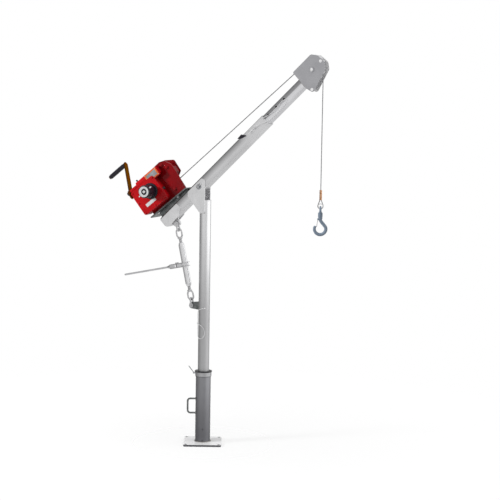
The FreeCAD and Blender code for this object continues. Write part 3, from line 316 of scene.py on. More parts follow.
# grey stops along a ramp, its two ends first
def addRamp(tree, factor, stops):
    node = addNode(tree, "ShaderNodeValToRGB", {0: factor})
    places = node.color_ramp.elements
    for index, (position, grey) in enumerate(stops):
        stop = places[index] if index < 2 else places.new(position)
        stop.position = position
        stop.color = (grey, grey, grey, 1)
    return node.outputs["Color"]


def newGroup(name, inputs, outputs):
    tree = bpy.data.node_groups.new(name, "ShaderNodeTree")
    kinds = {float: "NodeSocketFloat", tuple: "NodeSocketVector", list: "NodeSocketColor"}
    for socket, value in inputs.items():
        made = tree.interface.new_socket(socket, in_out="INPUT", socket_type=kinds[type(value)])
        made.default_value = value
    for socket, kind in outputs.items():
        tree.interface.new_socket(socket, in_out="OUTPUT", socket_type=kinds[kind])
    return tree, tree.nodes.new("NodeGroupInput").outputs, tree.nodes.new("NodeGroupOutput").inputs


# lengthwise brush marks, with the grain along the vector's Z
def buildBrushGroup():
    tree, given, out = newGroup(
        "brushMarks",
        {"Vector": (0.0, 0.0, 0.0), "Fineness": 700.0, "Stretch": 0.012},
        {"Streak": float, "Cloud": float},
    )
    place, fineness = given["Vector"], given["Fineness"]
    along = multiply(tree, fineness, given["Stretch"])
    scale = addNode(tree, "ShaderNodeCombineXYZ", {0: fineness, 1: fineness, 2: along}).outputs[0]
    moved = addNode(tree, "ShaderNodeVectorMath", {0: place, 1: scale}, operation="MULTIPLY").outputs[0]
    feed(tree, out, {"Streak": noise(tree, moved, 1.0, 3.0), "Cloud": noise(tree, place, 7.0, 4.0)})
    return tree


# paint: orange peel, a slow drift of tone and chips where noise and edges meet
def buildEnamelGroup():
    tree, given, out = newGroup(
        "enamelCoat",
        {"Vector": (0.0, 0.0, 0.0), "Paint": [1.0, 0.0, 0.0, 1.0], "Shade": [0.5, 0.0, 0.0, 1.0],
         "Bare": [0.3, 0.3, 0.3, 1.0], "Chips": 0.5},
        {"Colour": list, "Roughness": float, "Height": float, "Bare": float},
    )
    place = given["Vector"]
    drift = mapRange(tree, noise(tree, place, 9.0, 3.0), 0.35, 0.7)
    edge = addNode(tree, "ShaderNodeNewGeometry").outputs["Pointiness"]
    sharp = mapRange(tree, edge, 0.53, 0.62)
    broken = mapRange(tree, noise(tree, place, 160.0, 4.0), 0.52, 0.62)
    bare = multiply(tree, multiply(tree, sharp, broken), given["Chips"])
    paint = mixColours(tree, drift, given["Paint"], given["Shade"])
    feed(tree, out, {
        "Colour": mixColours(tree, bare, paint, given["Bare"]),
        "Roughness": mapRange(tree, noise(tree, place, 40.0, 3.0), 0.3, 0.7, 0.16, 0.3),
        "Height": noise(tree, place, 260.0, 1.0),
        "Bare": bare,
    })
    return tree


# fine blasted or cast skin with broad stains
def buildSkinGroup():
    tree, given, out = newGroup(
        "blastedSkin",
        {"Vector": (0.0, 0.0, 0.0), "Grain": 1500.0, "Stain": 14.0},
        {"Grain": float, "Stain": float},
    )
    grain = noise(tree, given["Vector"], given["Grain"], 2.0)
    stain = mapRange(tree, noise(tree, given["Vector"], given["Stain"], 5.0), 0.3, 0.7)
    feed(tree, out, {"Grain": grain, "Stain": stain})
    return tree


groups = {"brush": buildBrushGroup(), "enamel": buildEnamelGroup(), "skin": buildSkinGroup()}


def useGroup(tree, name, inputs):
    return addNode(tree, "ShaderNodeGroup", inputs, node_tree=groups[name]).outputs


def newMaterial(name, metallic=1.0):
    material = bpy.data.materials.new(name)
    material.use_nodes = True
    tree = material.node_tree
    shader = tree.nodes["Principled BSDF"]
    shader.inputs["Metallic"].default_value = metallic
    return material, tree, shader.inputs, addNode(tree, "ShaderNodeTexCoord").outputs["Object"]


def addBump(tree, shader, height, distance, strength):
    inputs = {"Height": height, "Distance": distance, "Strength": strength}
    feed(tree, shader, {"Normal": addNode(tree, "ShaderNodeBump", inputs).outputs["Normal"]})


def useSkin(tree, place, grain, stain):
    return useGroup(tree, "skin", {"Vector": place, "Grain": grain, "Stain": stain})


# stained spots are a little smoother
def stainRoughness(tree, skin, rough):
    return mapRange(tree, skin["Stain"], 0.0, 1.0, rough + 0.06, rough - 0.05)


# brushed tube: the grain runs along the tube, turned about Y to meet the vector's Z
def tubeSteel(name, turn, dark, light, rough, shade=None, worn=None):
    material, tree, shader, place = newMaterial(name)
    inputs = {"Vector": place, "Rotation": (0, turn, 0)}
    along = addNode(tree, "ShaderNodeMapping", inputs).outputs["Vector"]
    marks = useGroup(tree, "brush", {"Vector": along})
    tone = mapRange(tree, marks["Cloud"], 0.35, 0.65, 0.2, 0.8)
    both = add(tree, multiply(tree, marks["Streak"], 0.3), multiply(tree, tone, 0.7))
    colour = mixColours(tree, both, dark, light)
    # painted shade across the boom's sides, darker towards the top, mixed to an even tone past a given reach along the
    # tube
    if shade:
        share = mapRange(tree, axisOf(tree, along, "X"), shade["top"], shade["foot"])
        film = addRamp(tree, share, shade["stops"])
        gone = mapRange(tree, axisOf(tree, along, "Z"), *shade["fade"])
        film = mixColours(tree, gone, film, shade["clean"])
        colour = mixColours(tree, 1.0, colour, film, "MULTIPLY")
    dull = mapRange(tree, marks["Streak"], 0.3, 0.7, rough - 0.04, rough + 0.06)
    # painted shade towards the foot of the tube, with a rise in roughness there
    if worn:
        low = mapRange(tree, axisOf(tree, place, "Z"), *worn["heights"], 1.0, 0.0)
        grime = mixColours(tree, low, (1, 1, 1), worn["tone"])
        colour = mixColours(tree, 1.0, colour, grime, "MULTIPLY")
        dull = add(tree, dull, multiply(tree, low, worn["rough"]))
    feed(tree, shader, {"Base Color": colour, "Roughness": dull})
    addBump(tree, shader, marks["Streak"], 0.00005, 0.08)
    return material


def plainMetal(name, dark, light, rough, grain=1500.0, stain=14.0, bump=0.0002):
    material, tree, shader, place = newMaterial(name)
    skin = useSkin(tree, place, grain, stain)
    feed(tree, shader, {
        "Base Color": mixColours(tree, skin["Stain"], dark, light),
        "Roughness": stainRoughness(tree, skin, rough),
    })
    addBump(tree, shader, skin["Grain"], bump, 0.4)
    return material


# the far plate, past the middle in Y, is pale and far less metallic: a painted highlight on its inner face
def headMetal(name, dark, light, pale, rough):
    material, tree, shader, place = newMaterial(name)
    skin = useSkin(tree, place, 1800.0, 9.0)
    # painted highlight: past the middle in Y the colour turns pale
    far = mapRange(tree, axisOf(tree, place, "Y"), 0.0, 0.01)
    grey = mixColours(tree, skin["Stain"], dark, light)
    feed(tree, shader, {
        "Base Color": mixColours(tree, far, grey, pale),
        "Metallic": mapRange(tree, far, 0.0, 1.0, 1.0, 0.15),
        "Roughness": stainRoughness(tree, skin, rough),
    })
    addBump(tree, shader, skin["Grain"], 0.0001, 0.3)
    return material


# enamel, with painted shade, a darker red, past a depth in Y where that is given
def enamel(name, paint, shade, bare, chips, coat, deeper=None):
    material, tree, shader, place = newMaterial(name, 0.0)
    shader["Specular IOR Level"].default_value = 0.1
    shader["Coat Weight"].default_value = coat
    shader["Coat Roughness"].default_value = 0.08
    # painted shade: past the given depth in Y the paint turns to the shaded red
    if deeper:
        far = mapRange(tree, axisOf(tree, place, "Y"), *deeper["depths"])
        paint = mixColours(tree, far, paint, deeper["paint"])
        shade = mixColours(tree, far, shade, deeper["shade"])
    inputs = {"Vector": place, "Paint": paint, "Shade": shade, "Bare": bare, "Chips": chips}
    skin = useGroup(tree, "enamel", inputs)
    outputs = {"Base Color": "Colour", "Roughness": "Roughness", "Metallic": "Bare"}
    feed(tree, shader, {socket: skin[output] for socket, output in outputs.items()})
    addBump(tree, shader, skin["Height"], 0.0004, 0.25)
    return material


def moulding(name, dark, light, rough, grain=900.0):
    material, tree, shader, place = newMaterial(name, 0.0)
    shader["Specular IOR Level"].default_value = 0.3
    skin = useSkin(tree, place, grain, 30.0)
    feed(tree, shader, {
        "Base Color": mixColours(tree, skin["Stain"], dark, light),
        "Roughness": mapRange(tree, skin["Grain"], 0.3, 0.7, rough - 0.06, rough + 0.08),
    })
    addBump(tree, shader, skin["Grain"], 0.0003, 0.5)
    return material


# a plate with a pale face at the given height and dark cut edges below it: painted shade along its edges and in its
# holes
def cutPlate(name, dark, light, cut, rough, height):
    material, tree, shader, place = newMaterial(name)
    skin = useSkin(tree, place, 1500.0, 14.0)
    # painted shade: below the face's height the plate turns dark and barely metallic
    face = mapRange(tree, axisOf(tree, place, "Z"), height - 0.0006, height - 0.0001)
    pale = mixColours(tree, skin["Stain"], dark, light)
    feed(tree, shader, {
        "Base Color": mixColours(tree, face, cut, pale),
        "Metallic": mapRange(tree, face, 0.0, 1.0, 1.0, 0.1),
        "Roughness": stainRoughness(tree, skin, rough),
    })
    addBump(tree, shader, skin["Grain"], 0.0001, 0.3)
    return material


# yellow passivate drifts from gold to brown and a little green
def passivated(name, brown, gold, green, mirrored):
    material, tree, shader, place = newMaterial(name)
    shader["Specular Tint"].default_value = (*mirrored, 1)
    skin = useSkin(tree, place, 800.0, 260.0)
    slow = mapRange(tree, noise(tree, place, 12.0, 0.0), 0.35, 0.65)
    warm = mixColours(tree, skin["Stain"], brown, gold)
    feed(tree, shader, {
        "Base Color": mixColours(tree, multiply(tree, slow, 0.6), warm, green),
        "Roughness": mapRange(tree, skin["Stain"], 0.0, 1.0, 0.42, 0.32),
    })
    addBump(tree, shader, skin["Grain"], 0.0002, 0.3)
    return material


# painted shade: the boom's sides darken towards the top, and the shade fades out past a given reach along the boom
boomTurn = math.atan2(boomAxis[2], boomAxis[0]) - math.pi / 2
boomLine = Matrix.Rotation(boomTurn, 4, "Y") @ boomPlace.translation


def boomShade(half, fade, stops):
    return {
        "top": boomLine.x - half,
        "foot": boomLine.x + half,
        "fade": [boomLine.z + reach for reach in fade],
        "stops": stops,
        "clean": (0.95, 0.95, 0.95),
    }


outerStops = [(0.0, 0.72), (1.0, 0.82), (0.012, 0.28), (0.14, 0.4), (0.34, 0.66), (0.62, 0.94)]
innerStops = [(0.0, 0.72), (1.0, 0.84), (0.014, 0.26), (0.4, 0.42), (0.48, 0.9), (0.7, 1.0)]
outerShade = boomShade(0.0381, (0.42, 0.5), outerStops)
innerShade = boomShade(0.0325, (1.01, 1.06), innerStops)
# both upright tubes carry painted shade towards the foot, and are rougher there
mastWear = {"heights": (0.85, 1.45), "tone": (0.58, 0.58, 0.58), "rough": 0.3}
pedestalWear = {"heights": (0.06, 0.42), "tone": (0.56, 0.56, 0.57), "rough": 0.06}
brightRed = ((0.56, 0.006, 0.01), (0.46, 0.004, 0.008))
# a shaded copy of the red paint: painted shade for the winch's parts that sit in shade
deepRed = ((0.24, 0.001, 0.004), (0.14, 0.001, 0.003))
chipped = (0.2, 0.19, 0.19)
# painted shade on the gear case, darker towards the wall behind it
caseDepth = {"depths": (-0.105, -0.062), "paint": deepRed[0], "shade": deepRed[1]}
# what makes each finish, its darker and lighter tone, roughness, and its grain where that differs
finishes = {
    "mastSteel": (tubeSteel, 0.0, (0.72, 0.72, 0.73), (0.86, 0.86, 0.87), 0.2, None, mastWear),
    "pedestalSteel": (tubeSteel, 0.0, (0.24, 0.24, 0.25), (0.32, 0.32, 0.34), 0.34, None, pedestalWear),
    "boomSteel": (tubeSteel, boomTurn, (0.72, 0.72, 0.73), (0.84, 0.84, 0.85), 0.3, outerShade),
    "innerSteel": (tubeSteel, boomTurn, (0.78, 0.78, 0.8), (0.92, 0.92, 0.94), 0.3, innerShade),
    "plateSteel": (plainMetal, (0.72, 0.72, 0.73), (0.86, 0.86, 0.87), 0.34),
    "baseSteel": (cutPlate, (0.9, 0.9, 0.91), (0.98, 0.98, 0.98), (0.1, 0.1, 0.11), 0.4, 0.0127),
    "seatSteel": (plainMetal, (0.12, 0.13, 0.13), (0.24, 0.25, 0.25), 0.42, 900.0, 30.0),
    "collarSteel": (plainMetal, (0.36, 0.36, 0.37), (0.5, 0.5, 0.51), 0.34),
    "headSteel": (headMetal, (0.43, 0.43, 0.45), (0.49, 0.49, 0.51), (0.86, 0.86, 0.87), 0.42),
    "brightSteel": (plainMetal, (0.8, 0.8, 0.81), (0.95, 0.95, 0.95), 0.2, 700.0, 60.0, 0.0001),
    "darkSteel": (plainMetal, (0.05, 0.05, 0.055), (0.14, 0.14, 0.15), 0.4, 700.0, 60.0),
    "zincSteel": (plainMetal, (0.7, 0.7, 0.71), (0.82, 0.82, 0.83), 0.24, 500.0, 24.0, 0.00003),
    "linkSteel": (plainMetal, (0.5, 0.5, 0.51), (0.64, 0.64, 0.65), 0.15, 500.0, 24.0, 0.00003),
    "machinedSteel": (plainMetal, (0.3, 0.31, 0.32), (0.5, 0.51, 0.53), 0.3, 900.0, 40.0),
    "weldSteel": (plainMetal, (0.24, 0.22, 0.2), (0.5, 0.49, 0.48), 0.36, 400.0, 130.0),
    "ropeSteel": (plainMetal, (0.26, 0.26, 0.27), (0.5, 0.5, 0.51), 0.4, 1200.0, 120.0),
    "bronze": (plainMetal, (0.36, 0.2, 0.07), (0.58, 0.36, 0.14), 0.32, 700.0, 60.0),
    "copper": (plainMetal, (0.38, 0.19, 0.1), (0.72, 0.42, 0.24), 0.32, 600.0, 80.0),
    "chrome": (plainMetal, (0.7, 0.71, 0.72), (0.86, 0.87, 0.88), 0.1, 900.0, 50.0, 0.00005),
    "passivated": (passivated, (0.17, 0.042, 0.005), (0.22, 0.062, 0.008), (0.15, 0.07, 0.01),
                   (0.8, 0.55, 0.3)),
    "redEnamel": (enamel, *brightRed, chipped, 0.4, 0.1),
    "deepEnamel": (enamel, *deepRed, chipped, 0.4, 0.1),
    "caseEnamel": (enamel, *brightRed, chipped, 0.4, 0.1, caseDepth),
    "orangeEnamel": (enamel, (0.8, 0.2, 0.05), (0.7, 0.15, 0.04), (0.4, 0.4, 0.4), 0.3, 0.1),
    "hookEnamel": (enamel, (0.3, 0.37, 0.46), (0.19, 0.25, 0.33), (0.5, 0.51, 0.54), 0.5, 0.5),
    "blackMoulding": (moulding, (0.006, 0.005, 0.01), (0.018, 0.016, 0.024), 0.34),
    "nylon": (moulding, (0.02, 0.02, 0.022), (0.045, 0.045, 0.048), 0.45, 1400.0),
    "coatedWire": (moulding, (0.84, 0.84, 0.85), (0.94, 0.94, 0.94), 0.3, 600.0),
    "blankPlate": (moulding, (0.72, 0.74, 0.75), (0.84, 0.85, 0.86), 0.32, 500.0),
}
materials = {name: make(name, *values) for name, (make, *values) in finishes.items()}
print("materials made:", len(materials))


edgeSetup = {"merge": 0.00001, "flat": math.radians(0.4), "width": 0.0008, "sharp": math.radians(38)}


# round off a CAD node's edges with modifiers, and give it its finish
def finishNode(name, material, setup):
    node = nodes[name]
    node.data.materials.clear()
    node.data.materials.append(materials[material])
    node.modifiers.new("weld", "WELD").merge_threshold = setup["merge"]
    flat = node.modifiers.new("flat", "DECIMATE")
    flat.decimate_type = "DISSOLVE"
    flat.angle_limit = setup["flat"]
    edge = node.modifiers.new("edge", "BEVEL")
    edge.width = setup["width"]
    edge.segments = 2
    edge.limit_method = "ANGLE"
    edge.angle_limit = setup["sharp"]
    edge.harden_normals = False
    node.modifiers.new("shade", "WEIGHTED_NORMAL").keep_sharp = True


nodeFinish = {
    "baseSteel": ["base_plate"],
    "collarSteel": ["pedestal_collar"],
    "plateSteel": ["mast_cap", "head_cheeks", "tail_plates"],
    "seatSteel": ["winch_brackets", "winch_mount_plate", "jack_lug", "carry_handle"],
    "headSteel": ["head_plates", "sheave_axle"],
    "pedestalSteel": ["pedestal_tube"],
    "mastSteel": ["mast_tube"],
    "boomSteel": ["boom_outer_tube"],
    "innerSteel": ["boom_inner_tube"],
    "brightSteel": ["pivot_pin_clip", "extension_pin", "keeper_pins"],
    "zincSteel": ["winch_bolts", "jack_barrel", "sheave"],
    "linkSteel": ["lower_shackle", "lower_shackle_pin", "upper_shackle", "upper_shackle_pin",
                  "ratchet_handle", "ratchet_pawl"],
    "redEnamel": ["gear_case_cover"],
    "caseEnamel": ["gear_case"],
    "deepEnamel": ["far_side_frame", "drum_shroud", "tie_rods"],
    "machinedSteel": ["pivot_pin", "drum", "drum_shaft", "worm_shaft", "slew_lock_screw", "hook_latch"],
    "bronze": ["worm_wheel", "sheave_bush"],
    "darkSteel": ["lower_bearing_cup"],
    "passivated": ["crank_arm"],
    "blackMoulding": ["clutch_knob", "lanyard_tab"],
    "chrome": ["clutch_cap"],
    "nylon": ["upper_bush"],
    "hookEnamel": ["swivel_eye"],
}
for material, names in nodeFinish.items():
    for name in names:
        finishNode(name, material, edgeSetup)
print("nodes finished")


# curves that pieces are read from
def newCurve(name):
    curve = bpy.data.curves.new(name, "CURVE")
    curve.dimensions = "3D"
    return curve


def addSpline(curve, kind, points):
    spline = curve.splines.new(kind)
    spline.points.add(len(points) - 1)
    for knot, point in zip(spline.points, points):
        knot.co = (*point, 1)
    return spline


def curveMesh(name, curve):
    holder = bpy.data.objects.new(name, curve)
    mesh = bpy.data.meshes.new_from_object(holder)
    bpy.data.objects.remove(holder)
    return mesh


# ropes and lanyards: a NURBS line through the route's points, then strands laid round that line
def routeLine(name, route):
    curve = newCurve(name)
    curve.resolution_u = 14
    spline = addSpline(curve, "NURBS", route)
    spline.order_u = 3
    spline.use_endpoint_u = True
    mesh = curveMesh(name, curve)
    line = [vertex.co.copy() for vertex in mesh.vertices]
    bpy.data.meshes.remove(mesh)
    return line


# points at even steps along a line, and the line's length
def evenLine(line, step):
    lengths = [0.0]
    for first, second in zip(line, line[1:]):
        lengths.append(lengths[-1] + (second - first).length)
    count = max(4, round(lengths[-1] / step))
    even = []
    place = 0
    for index in range(count + 1):
        reach = lengths[-1] * index / count
        while place < len(line) - 2 and lengths[place + 1] < reach:
            place += 1
        share = (reach - lengths[place]) / max(lengths[place + 1] - lengths[place], 1e-9)
        even.append(line[place].lerp(line[place + 1], min(share, 1.0)))
    return even, lengths[-1]


def tubeMesh(name, lines, radius, sides=1, closed=False, ripple=(1.0,)):
    curve = newCurve(name)
    curve.bevel_depth = radius
    curve.bevel_resolution = sides
    curve.use_fill_caps = True
    for line in lines:
        spline = addSpline(curve, "POLY", line)
        spline.use_cyclic_u = closed
        for index, knot in enumerate(spline.points):
            knot.radius = ripple[index % len(ripple)]
    mesh = curveMesh(name, curve)
    mesh.name = name
    return mesh


# strands turn about the line, carried along it without twist of their own
def strandLines(line, setup):
    lay, count = setup["lay"], setup["strands"]
    even, length = evenLine(line, lay / setup["stepsPerLay"])
    side = (even[1] - even[0]).orthogonal().normalized()
    strands = [[] for strand in range(count)]
    for index, point in enumerate(even):
        ahead = (even[min(index + 1, len(even) - 1)] - even[max(index - 1, 0)]).normalized()
        side = (side - ahead * side.dot(ahead)).normalized()
        across = ahead.cross(side)
        turn = 2 * math.pi * length * index / (len(even) - 1) / lay
        for strand in range(count):
            angle = turn + 2 * math.pi * strand / count
            offset = side * math.cos(angle) + across * math.sin(angle)
            strands[strand].append(point + offset * setup["diameter"] / 3)
    return strands


def addPiece(name, mesh, material, slot, smooth):
    mesh.materials.append(materials[material])
    mesh.shade_smooth()
    mesh.set_sharp_from_angle(angle=math.radians(smooth))
    piece = bpy.data.objects.new(name, mesh)
    bpy.context.scene.collection.objects.link(piece)
    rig.slot(piece, slot)
    return piece


ropeSetup = {
    "diameter": 0.0064,
    "lay": 0.044,
    "stepsPerLay": 9,
    "strands": 6,
    "straight": 6,  # diameters that the rope runs straight from a wheel or sleeve
    "windingRadius": 0.0403,
    "turns": 5,
    "stepsPerTurn": 16,
    "turnPitch": 0.0072,
    "windingLength": 1.273,
    "sheavePitch": 0.066,
    "overSteps": 6,
    "overLength": 0.151,
}


# six strands and a core, each a third of the rope
def addRope(name, route):
    line = routeLine(name, route)
    mesh = tubeMesh(name, strandLines(line, ropeSetup) + [line], ropeSetup["diameter"] / 6)
    return addPiece(name, mesh, "ropeSteel", "wire_rope", 70), line


# control points round a circle: the corners where neighbouring tangents meet
def roundRoute(centre, first, second, radius, start, end, steps, climb=Vector()):
    step = (end - start) / steps
    points = [centre + (first * math.cos(start) + second * math.sin(start)) * radius]
    for index in range(steps):
        angle = start + step * (index + 0.5)
        way = first * math.cos(angle) + second * math.sin(angle)
        points.append(centre + way * (radius / math.cos(step / 2)) + climb * (index + 0.5))
    points.append(centre + (first * math.cos(end) + second * math.sin(end)) * radius + climb * steps)
    return points


def buildRopes(setup):
    diameter, winding, pitch = setup["diameter"], setup["windingRadius"], setup["sheavePitch"]
    drum, sheave = jointPoint("drum_turn"), jointPoint("sheave_spin")
    gap = sheave - drum
    slope = math.atan2(gap.z, gap.x) + math.asin((winding + pitch) / gap.length)
    ahead = Vector((math.cos(slope), 0, math.sin(slope)))
    up = Vector((-ahead.z, 0, ahead.x))
    leave, arrive = drum - up * winding + ahead * diameter, sheave + up * pitch
    near = ahead * diameter * setup["straight"]
    run, line = addRope("ropeRun", [leave, leave + near, arrive - near, arrive])
    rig.blend(run, "boom", "boom_inner", leave, arrive)
    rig.replaces(run, "rope_run")
    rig.cord(run, leave, (arrive - leave).length, diameter, "object", "stiff", "taut", line)

    route = roundRoute(sheave, up, ahead, pitch, 0.0, math.pi / 2 + slope, setup["overSteps"])
    over, line = addRope("ropeOverSheave", route)
    side = sheave + Vector((pitch, 0, 0))
    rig.blend(over, "boom_inner", "fall", arrive, side)
    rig.replaces(over, "rope_over_sheave")
    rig.cord(over, arrive, setup["overLength"], diameter, "object", "stiff", "taut", line)

    foot = Vector((side.x, 0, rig.box("swage_sleeve")[1][2]))
    drop = Vector((0, 0, -setup["straight"] * diameter))
    fall, line = addRope("ropeFall", [side, side + drop, foot - drop, foot])
    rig.blend(fall, "fall", "hook_block", side, foot)
    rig.replaces(fall, "rope_fall")
    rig.cord(fall, side, side.z - foot.z, diameter, "object", "stiff", "taut", line)

    steps = setup["turns"] * setup["stepsPerTurn"]
    climb = Vector((0, setup["turnPitch"] / setup["stepsPerTurn"], 0))
    start = drum - climb * steps
    route = roundRoute(start, -up, ahead, winding, -2 * math.pi * setup["turns"], 0.0, steps, climb)
    coil, line = addRope("ropeWinding", route + [leave])
    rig.ride(coil, "drum")
    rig.replaces(coil, "rope_winding")
    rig.cord(coil, line[0], setup["windingLength"], diameter, "object", "stiff", "coiled", line)


buildRopes(ropeSetup)
print("ropes laid")

# thin coated wires: one on the boom's pin, one against the mast
pinLanyard = {
    "diameter": 0.003,
    "route": [(566.7, -63.8, 12), (590, -61.8, 9), (622, -57, -2), (655, -52, -17), (698, -50, -26),
              (745, -50, -25), (790, -50, -22), (826, -50, -16), (846, -50, -11), (852, -50, -3),
              (842, -50, 4), (818, -50, 5), (784, -50, 2), (742, -50, 0), (704, -48, 3), (674, -46, 11),
              (650, -45, 18)],
    "length": 0.503,
    "stud": (644, -38.1, 18),
}
mastLanyard = {
    "diameter": 0.003,
    "radius": 0.0431,
    "route": [(294, 927), (266, 923), (238, 916), (213, 900), (204, 862), (204, 806), (208, 752), (226, 727),
              (254, 718), (284, 724), (304, 752), (296, 788), (266, 810), (234, 818)],
    "length": 0.391,
    "stud": (299, 928),
}


def polarPoint(radius, degrees, height):
    angle = math.radians(degrees)
    return Vector((radius * math.cos(angle), radius * math.sin(angle), height / 1000))


def addWire(name, route, diameter):
    line = routeLine(name, route)
    mesh = tubeMesh(name, [evenLine(line, diameter)[0]], diameter / 2, 2)
    return addPiece(name, mesh, "coatedWire", "lanyard_wire", 70), line


def buildLanyards():
    route = [boomPlace @ (Vector(point) / 1000) for point in pinLanyard["route"]]
    wire, pinLine = addWire("pinLanyard", route, pinLanyard["diameter"])
    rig.blend(wire, "extension_pin", "boom", route[0], route[-1])
    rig.replaces(wire, "pin_lanyard")
    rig.cord(wire, route[0], pinLanyard["length"], pinLanyard["diameter"], "object", "medium", "loose",
            pinLine)
    route = [polarPoint(mastLanyard["radius"], *point) for point in mastLanyard["route"]]
    wire, line = addWire("mastLanyard", route, mastLanyard["diameter"])
    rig.ride(wire, "mast")
    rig.replaces(wire, "mast_lanyard")
    return wire, line, pinLine


mastWire, mastWireLine, pinWireLine = buildLanyards()


# closed shells that a piece is made of, so that each can be made to face outward
def shells(bm):
    left = set(bm.faces)
    while left:
        shell, reached = [], [left.pop()]
        while reached:
            face = reached.pop()
            shell.append(face)
            near = {other for edge in face.edges for other in edge.link_faces} & left
            left -= near
            reached.extend(near)
        yield shell


def insideOut(shell):
    start = shell[0].verts[0].co
    parts = [(face.calc_center_median() - start).dot(face.normal) * face.calc_area() for face in shell]
    return sum(parts) < 0


# shaping helpers, all in millimetres until their place is applied
def finishMesh(name, bm):
    bmesh.ops.remove_doubles(bm, verts=bm.verts, dist=0.000005)
    bmesh.ops.recalc_face_normals(bm, faces=bm.faces)
    for shell in list(shells(bm)):
        if insideOut(shell):
            bmesh.ops.reverse_faces(bm, faces=shell)
    mesh = bpy.data.meshes.new(name)
    bm.to_mesh(mesh)
    bm.free()
    return mesh


# angles every 15 degrees round a bend
def bendAngles(first, sweep):
    return [math.radians(degrees) for degrees in range(first, first + sweep + 1, 15)]


def onlyVerts(items):
    return [item for item in items if isinstance(item, bmesh.types.BMVert)]


def edgesBetween(bm, verts):
    return [edge for edge in bm.edges if edge.verts[0] in verts and edge.verts[1] in verts]


def openEdges(bm):
    return [edge for edge in bm.edges if edge.is_boundary]


# a profile of (radius, height) turned about Z
def turnProfile(bm, profile, place, steps):
    before = set(bm.verts)
    verts = [bm.verts.new((radius, 0, height)) for radius, height in profile]
    edges = [bm.edges.new(pair) for pair in zip(verts, verts[1:])]
    bmesh.ops.spin(bm, geom=verts + edges, cent=(0, 0, 0), axis=(0, 0, 1), angle=2 * math.pi,
                   steps=steps, use_merge=True)
    made = [vert for vert in bm.verts if vert not in before]
    bmesh.ops.remove_doubles(bm, verts=made, dist=0.001)
    bmesh.ops.transform(bm, matrix=place, verts=[vert for vert in made if vert.is_valid])


# round what was added since, and put it in its place
def roundAndPlace(bm, before, place, width, segments):
    edges = {edge for vert in bm.verts if vert not in before for edge in vert.link_edges}
    bmesh.ops.bevel(bm, geom=list(edges), offset=width, offset_type="OFFSET", affect="EDGES",
                    segments=segments, profile=0.5, material=-1)
    bmesh.ops.transform(bm, matrix=place, verts=[vert for vert in bm.verts if vert not in before])


# a six-sided nut or bolt head with rounded edges, its foot on the place's XY
def addHexagon(bm, place, size, height, chamfer):
    before = set(bm.verts)
    made = bmesh.ops.create_circle(bm, cap_ends=True, segments=6, radius=size)["verts"]
    top = bmesh.ops.extrude_face_region(bm, geom=[made[0].link_faces[0]])["geom"]
    bmesh.ops.translate(bm, verts=onlyVerts(top), vec=(0, 0, height))
    roundAndPlace(bm, before, place, chamfer, 2)


# a block between two corners with rounded edges
def addBlock(bm, place, low, high, width, segments):
    before = set(bm.verts)
    size = Vector(high) - Vector(low)
    middle = Matrix.Translation((Vector(low) + Vector(high)) / 2) @ Matrix.Diagonal((*size, 1))
    bmesh.ops.create_cube(bm, size=1.0, matrix=middle)
    roundAndPlace(bm, before, place, width, segments)


# a hexagon on its washer, and the stud's tip where it shows
def addNut(bm, place, nut, turn=0.0):
    turnProfile(bm, nut["washer"], place, nut["steps"])
    addHexagon(bm, place @ Matrix.Rotation(turn, 4, "Z"), *nut["hexagon"])
    if "tip" in nut:
        turnProfile(bm, nut["tip"], place, nut["tipSteps"])


# a profile with a stretch that repeats
def ribbedProfile(start, rib, end):
    heights = [rib["first"] + index * rib["pitch"] for index in range(rib["count"])]
    ribs = [(radius, height + rise) for height in heights for radius, rise in rib["shape"]]
    return [*start, *ribs, *end]


def alongAxis(point, axis):
    return Matrix.Translation(point) @ Vector(axis).to_track_quat("Z", "Y").to_matrix().to_4x4()


def bodyPiece(name, bm, material, slot, body, smooth=35):
    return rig.ride(addPiece(name, finishMesh(name, bm), material, slot, smooth), body)


def turnedPiece(name, profile, place, material, slot, body, steps, smooth=35):
    bm = bmesh.new()
    turnProfile(bm, profile, place, steps)
    return bodyPiece(name, bm, material, slot, body, smooth)


# each lanyard's stud with its washer, and the crimped sleeves on the wires
wireEnds = {
    "stud": [(0, 0), (4.8, 0), (4.8, 1.2), (3, 1.2), (3, 9.2), (4.2, 9.6), (4.4, 11.0), (3.4, 12.0),
             (1.6, 12.4), (0, 12.4)],
    "sleeve": [(0, -1), (1.4, -1), (2.6, -2), (3, 0), (3, 3.5), (2.6, 4.2), (2.6, 5.6), (3, 6.3), (3, 10.5),
               (2.2, 12), (0, 12)],
    "finish": {"stud": "brightSteel", "sleeve": "zincSteel"},
    "mastRadius": 0.0382,
    "mastStudHeight": 0.84,  # share of the boom's stud
}


def addWireEnd(name, kind, place, body):
    return turnedPiece(name, wireEnds[kind], place, wireEnds["finish"][kind], "bright_steel", body, 24)


def buildWireEnds():
    angle, height = mastLanyard["stud"]
    foot = alongAxis(polarPoint(wireEnds["mastRadius"], angle, height), polarPoint(1.0, angle, 0))
    short = millimetres(foot) @ Matrix.Diagonal((1, 1, wireEnds["mastStudHeight"], 1))
    addWireEnd("mastStud", "stud", short, "mast")
    end = mastWireLine[-1]
    clasp = addWireEnd("lanyardClasp", "sleeve", millimetres(alongAxis(end, end - mastWireLine[-4])), "mast")
    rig.cord(mastWire, mastWireLine[0], mastLanyard["length"], mastLanyard["diameter"], "fitting", "medium",
            "loose", mastWireLine, with_pieces=[clasp])
    addWireEnd("pinStud", "stud", millimetres(boomPlace) @ alongAxis(pinLanyard["stud"], (0, -1, 0)), "boom")
    start, end = pinWireLine[0], pinWireLine[-1]
    addWireEnd("pinCrimp", "sleeve", millimetres(alongAxis(end, pinWireLine[-6] - end)), "boom")
    place = millimetres(alongAxis(start, pinWireLine[6] - start))
    addWireEnd("pinFerrule", "sleeve", place, "extension_pin")


buildWireEnds()
print("lanyards hung")


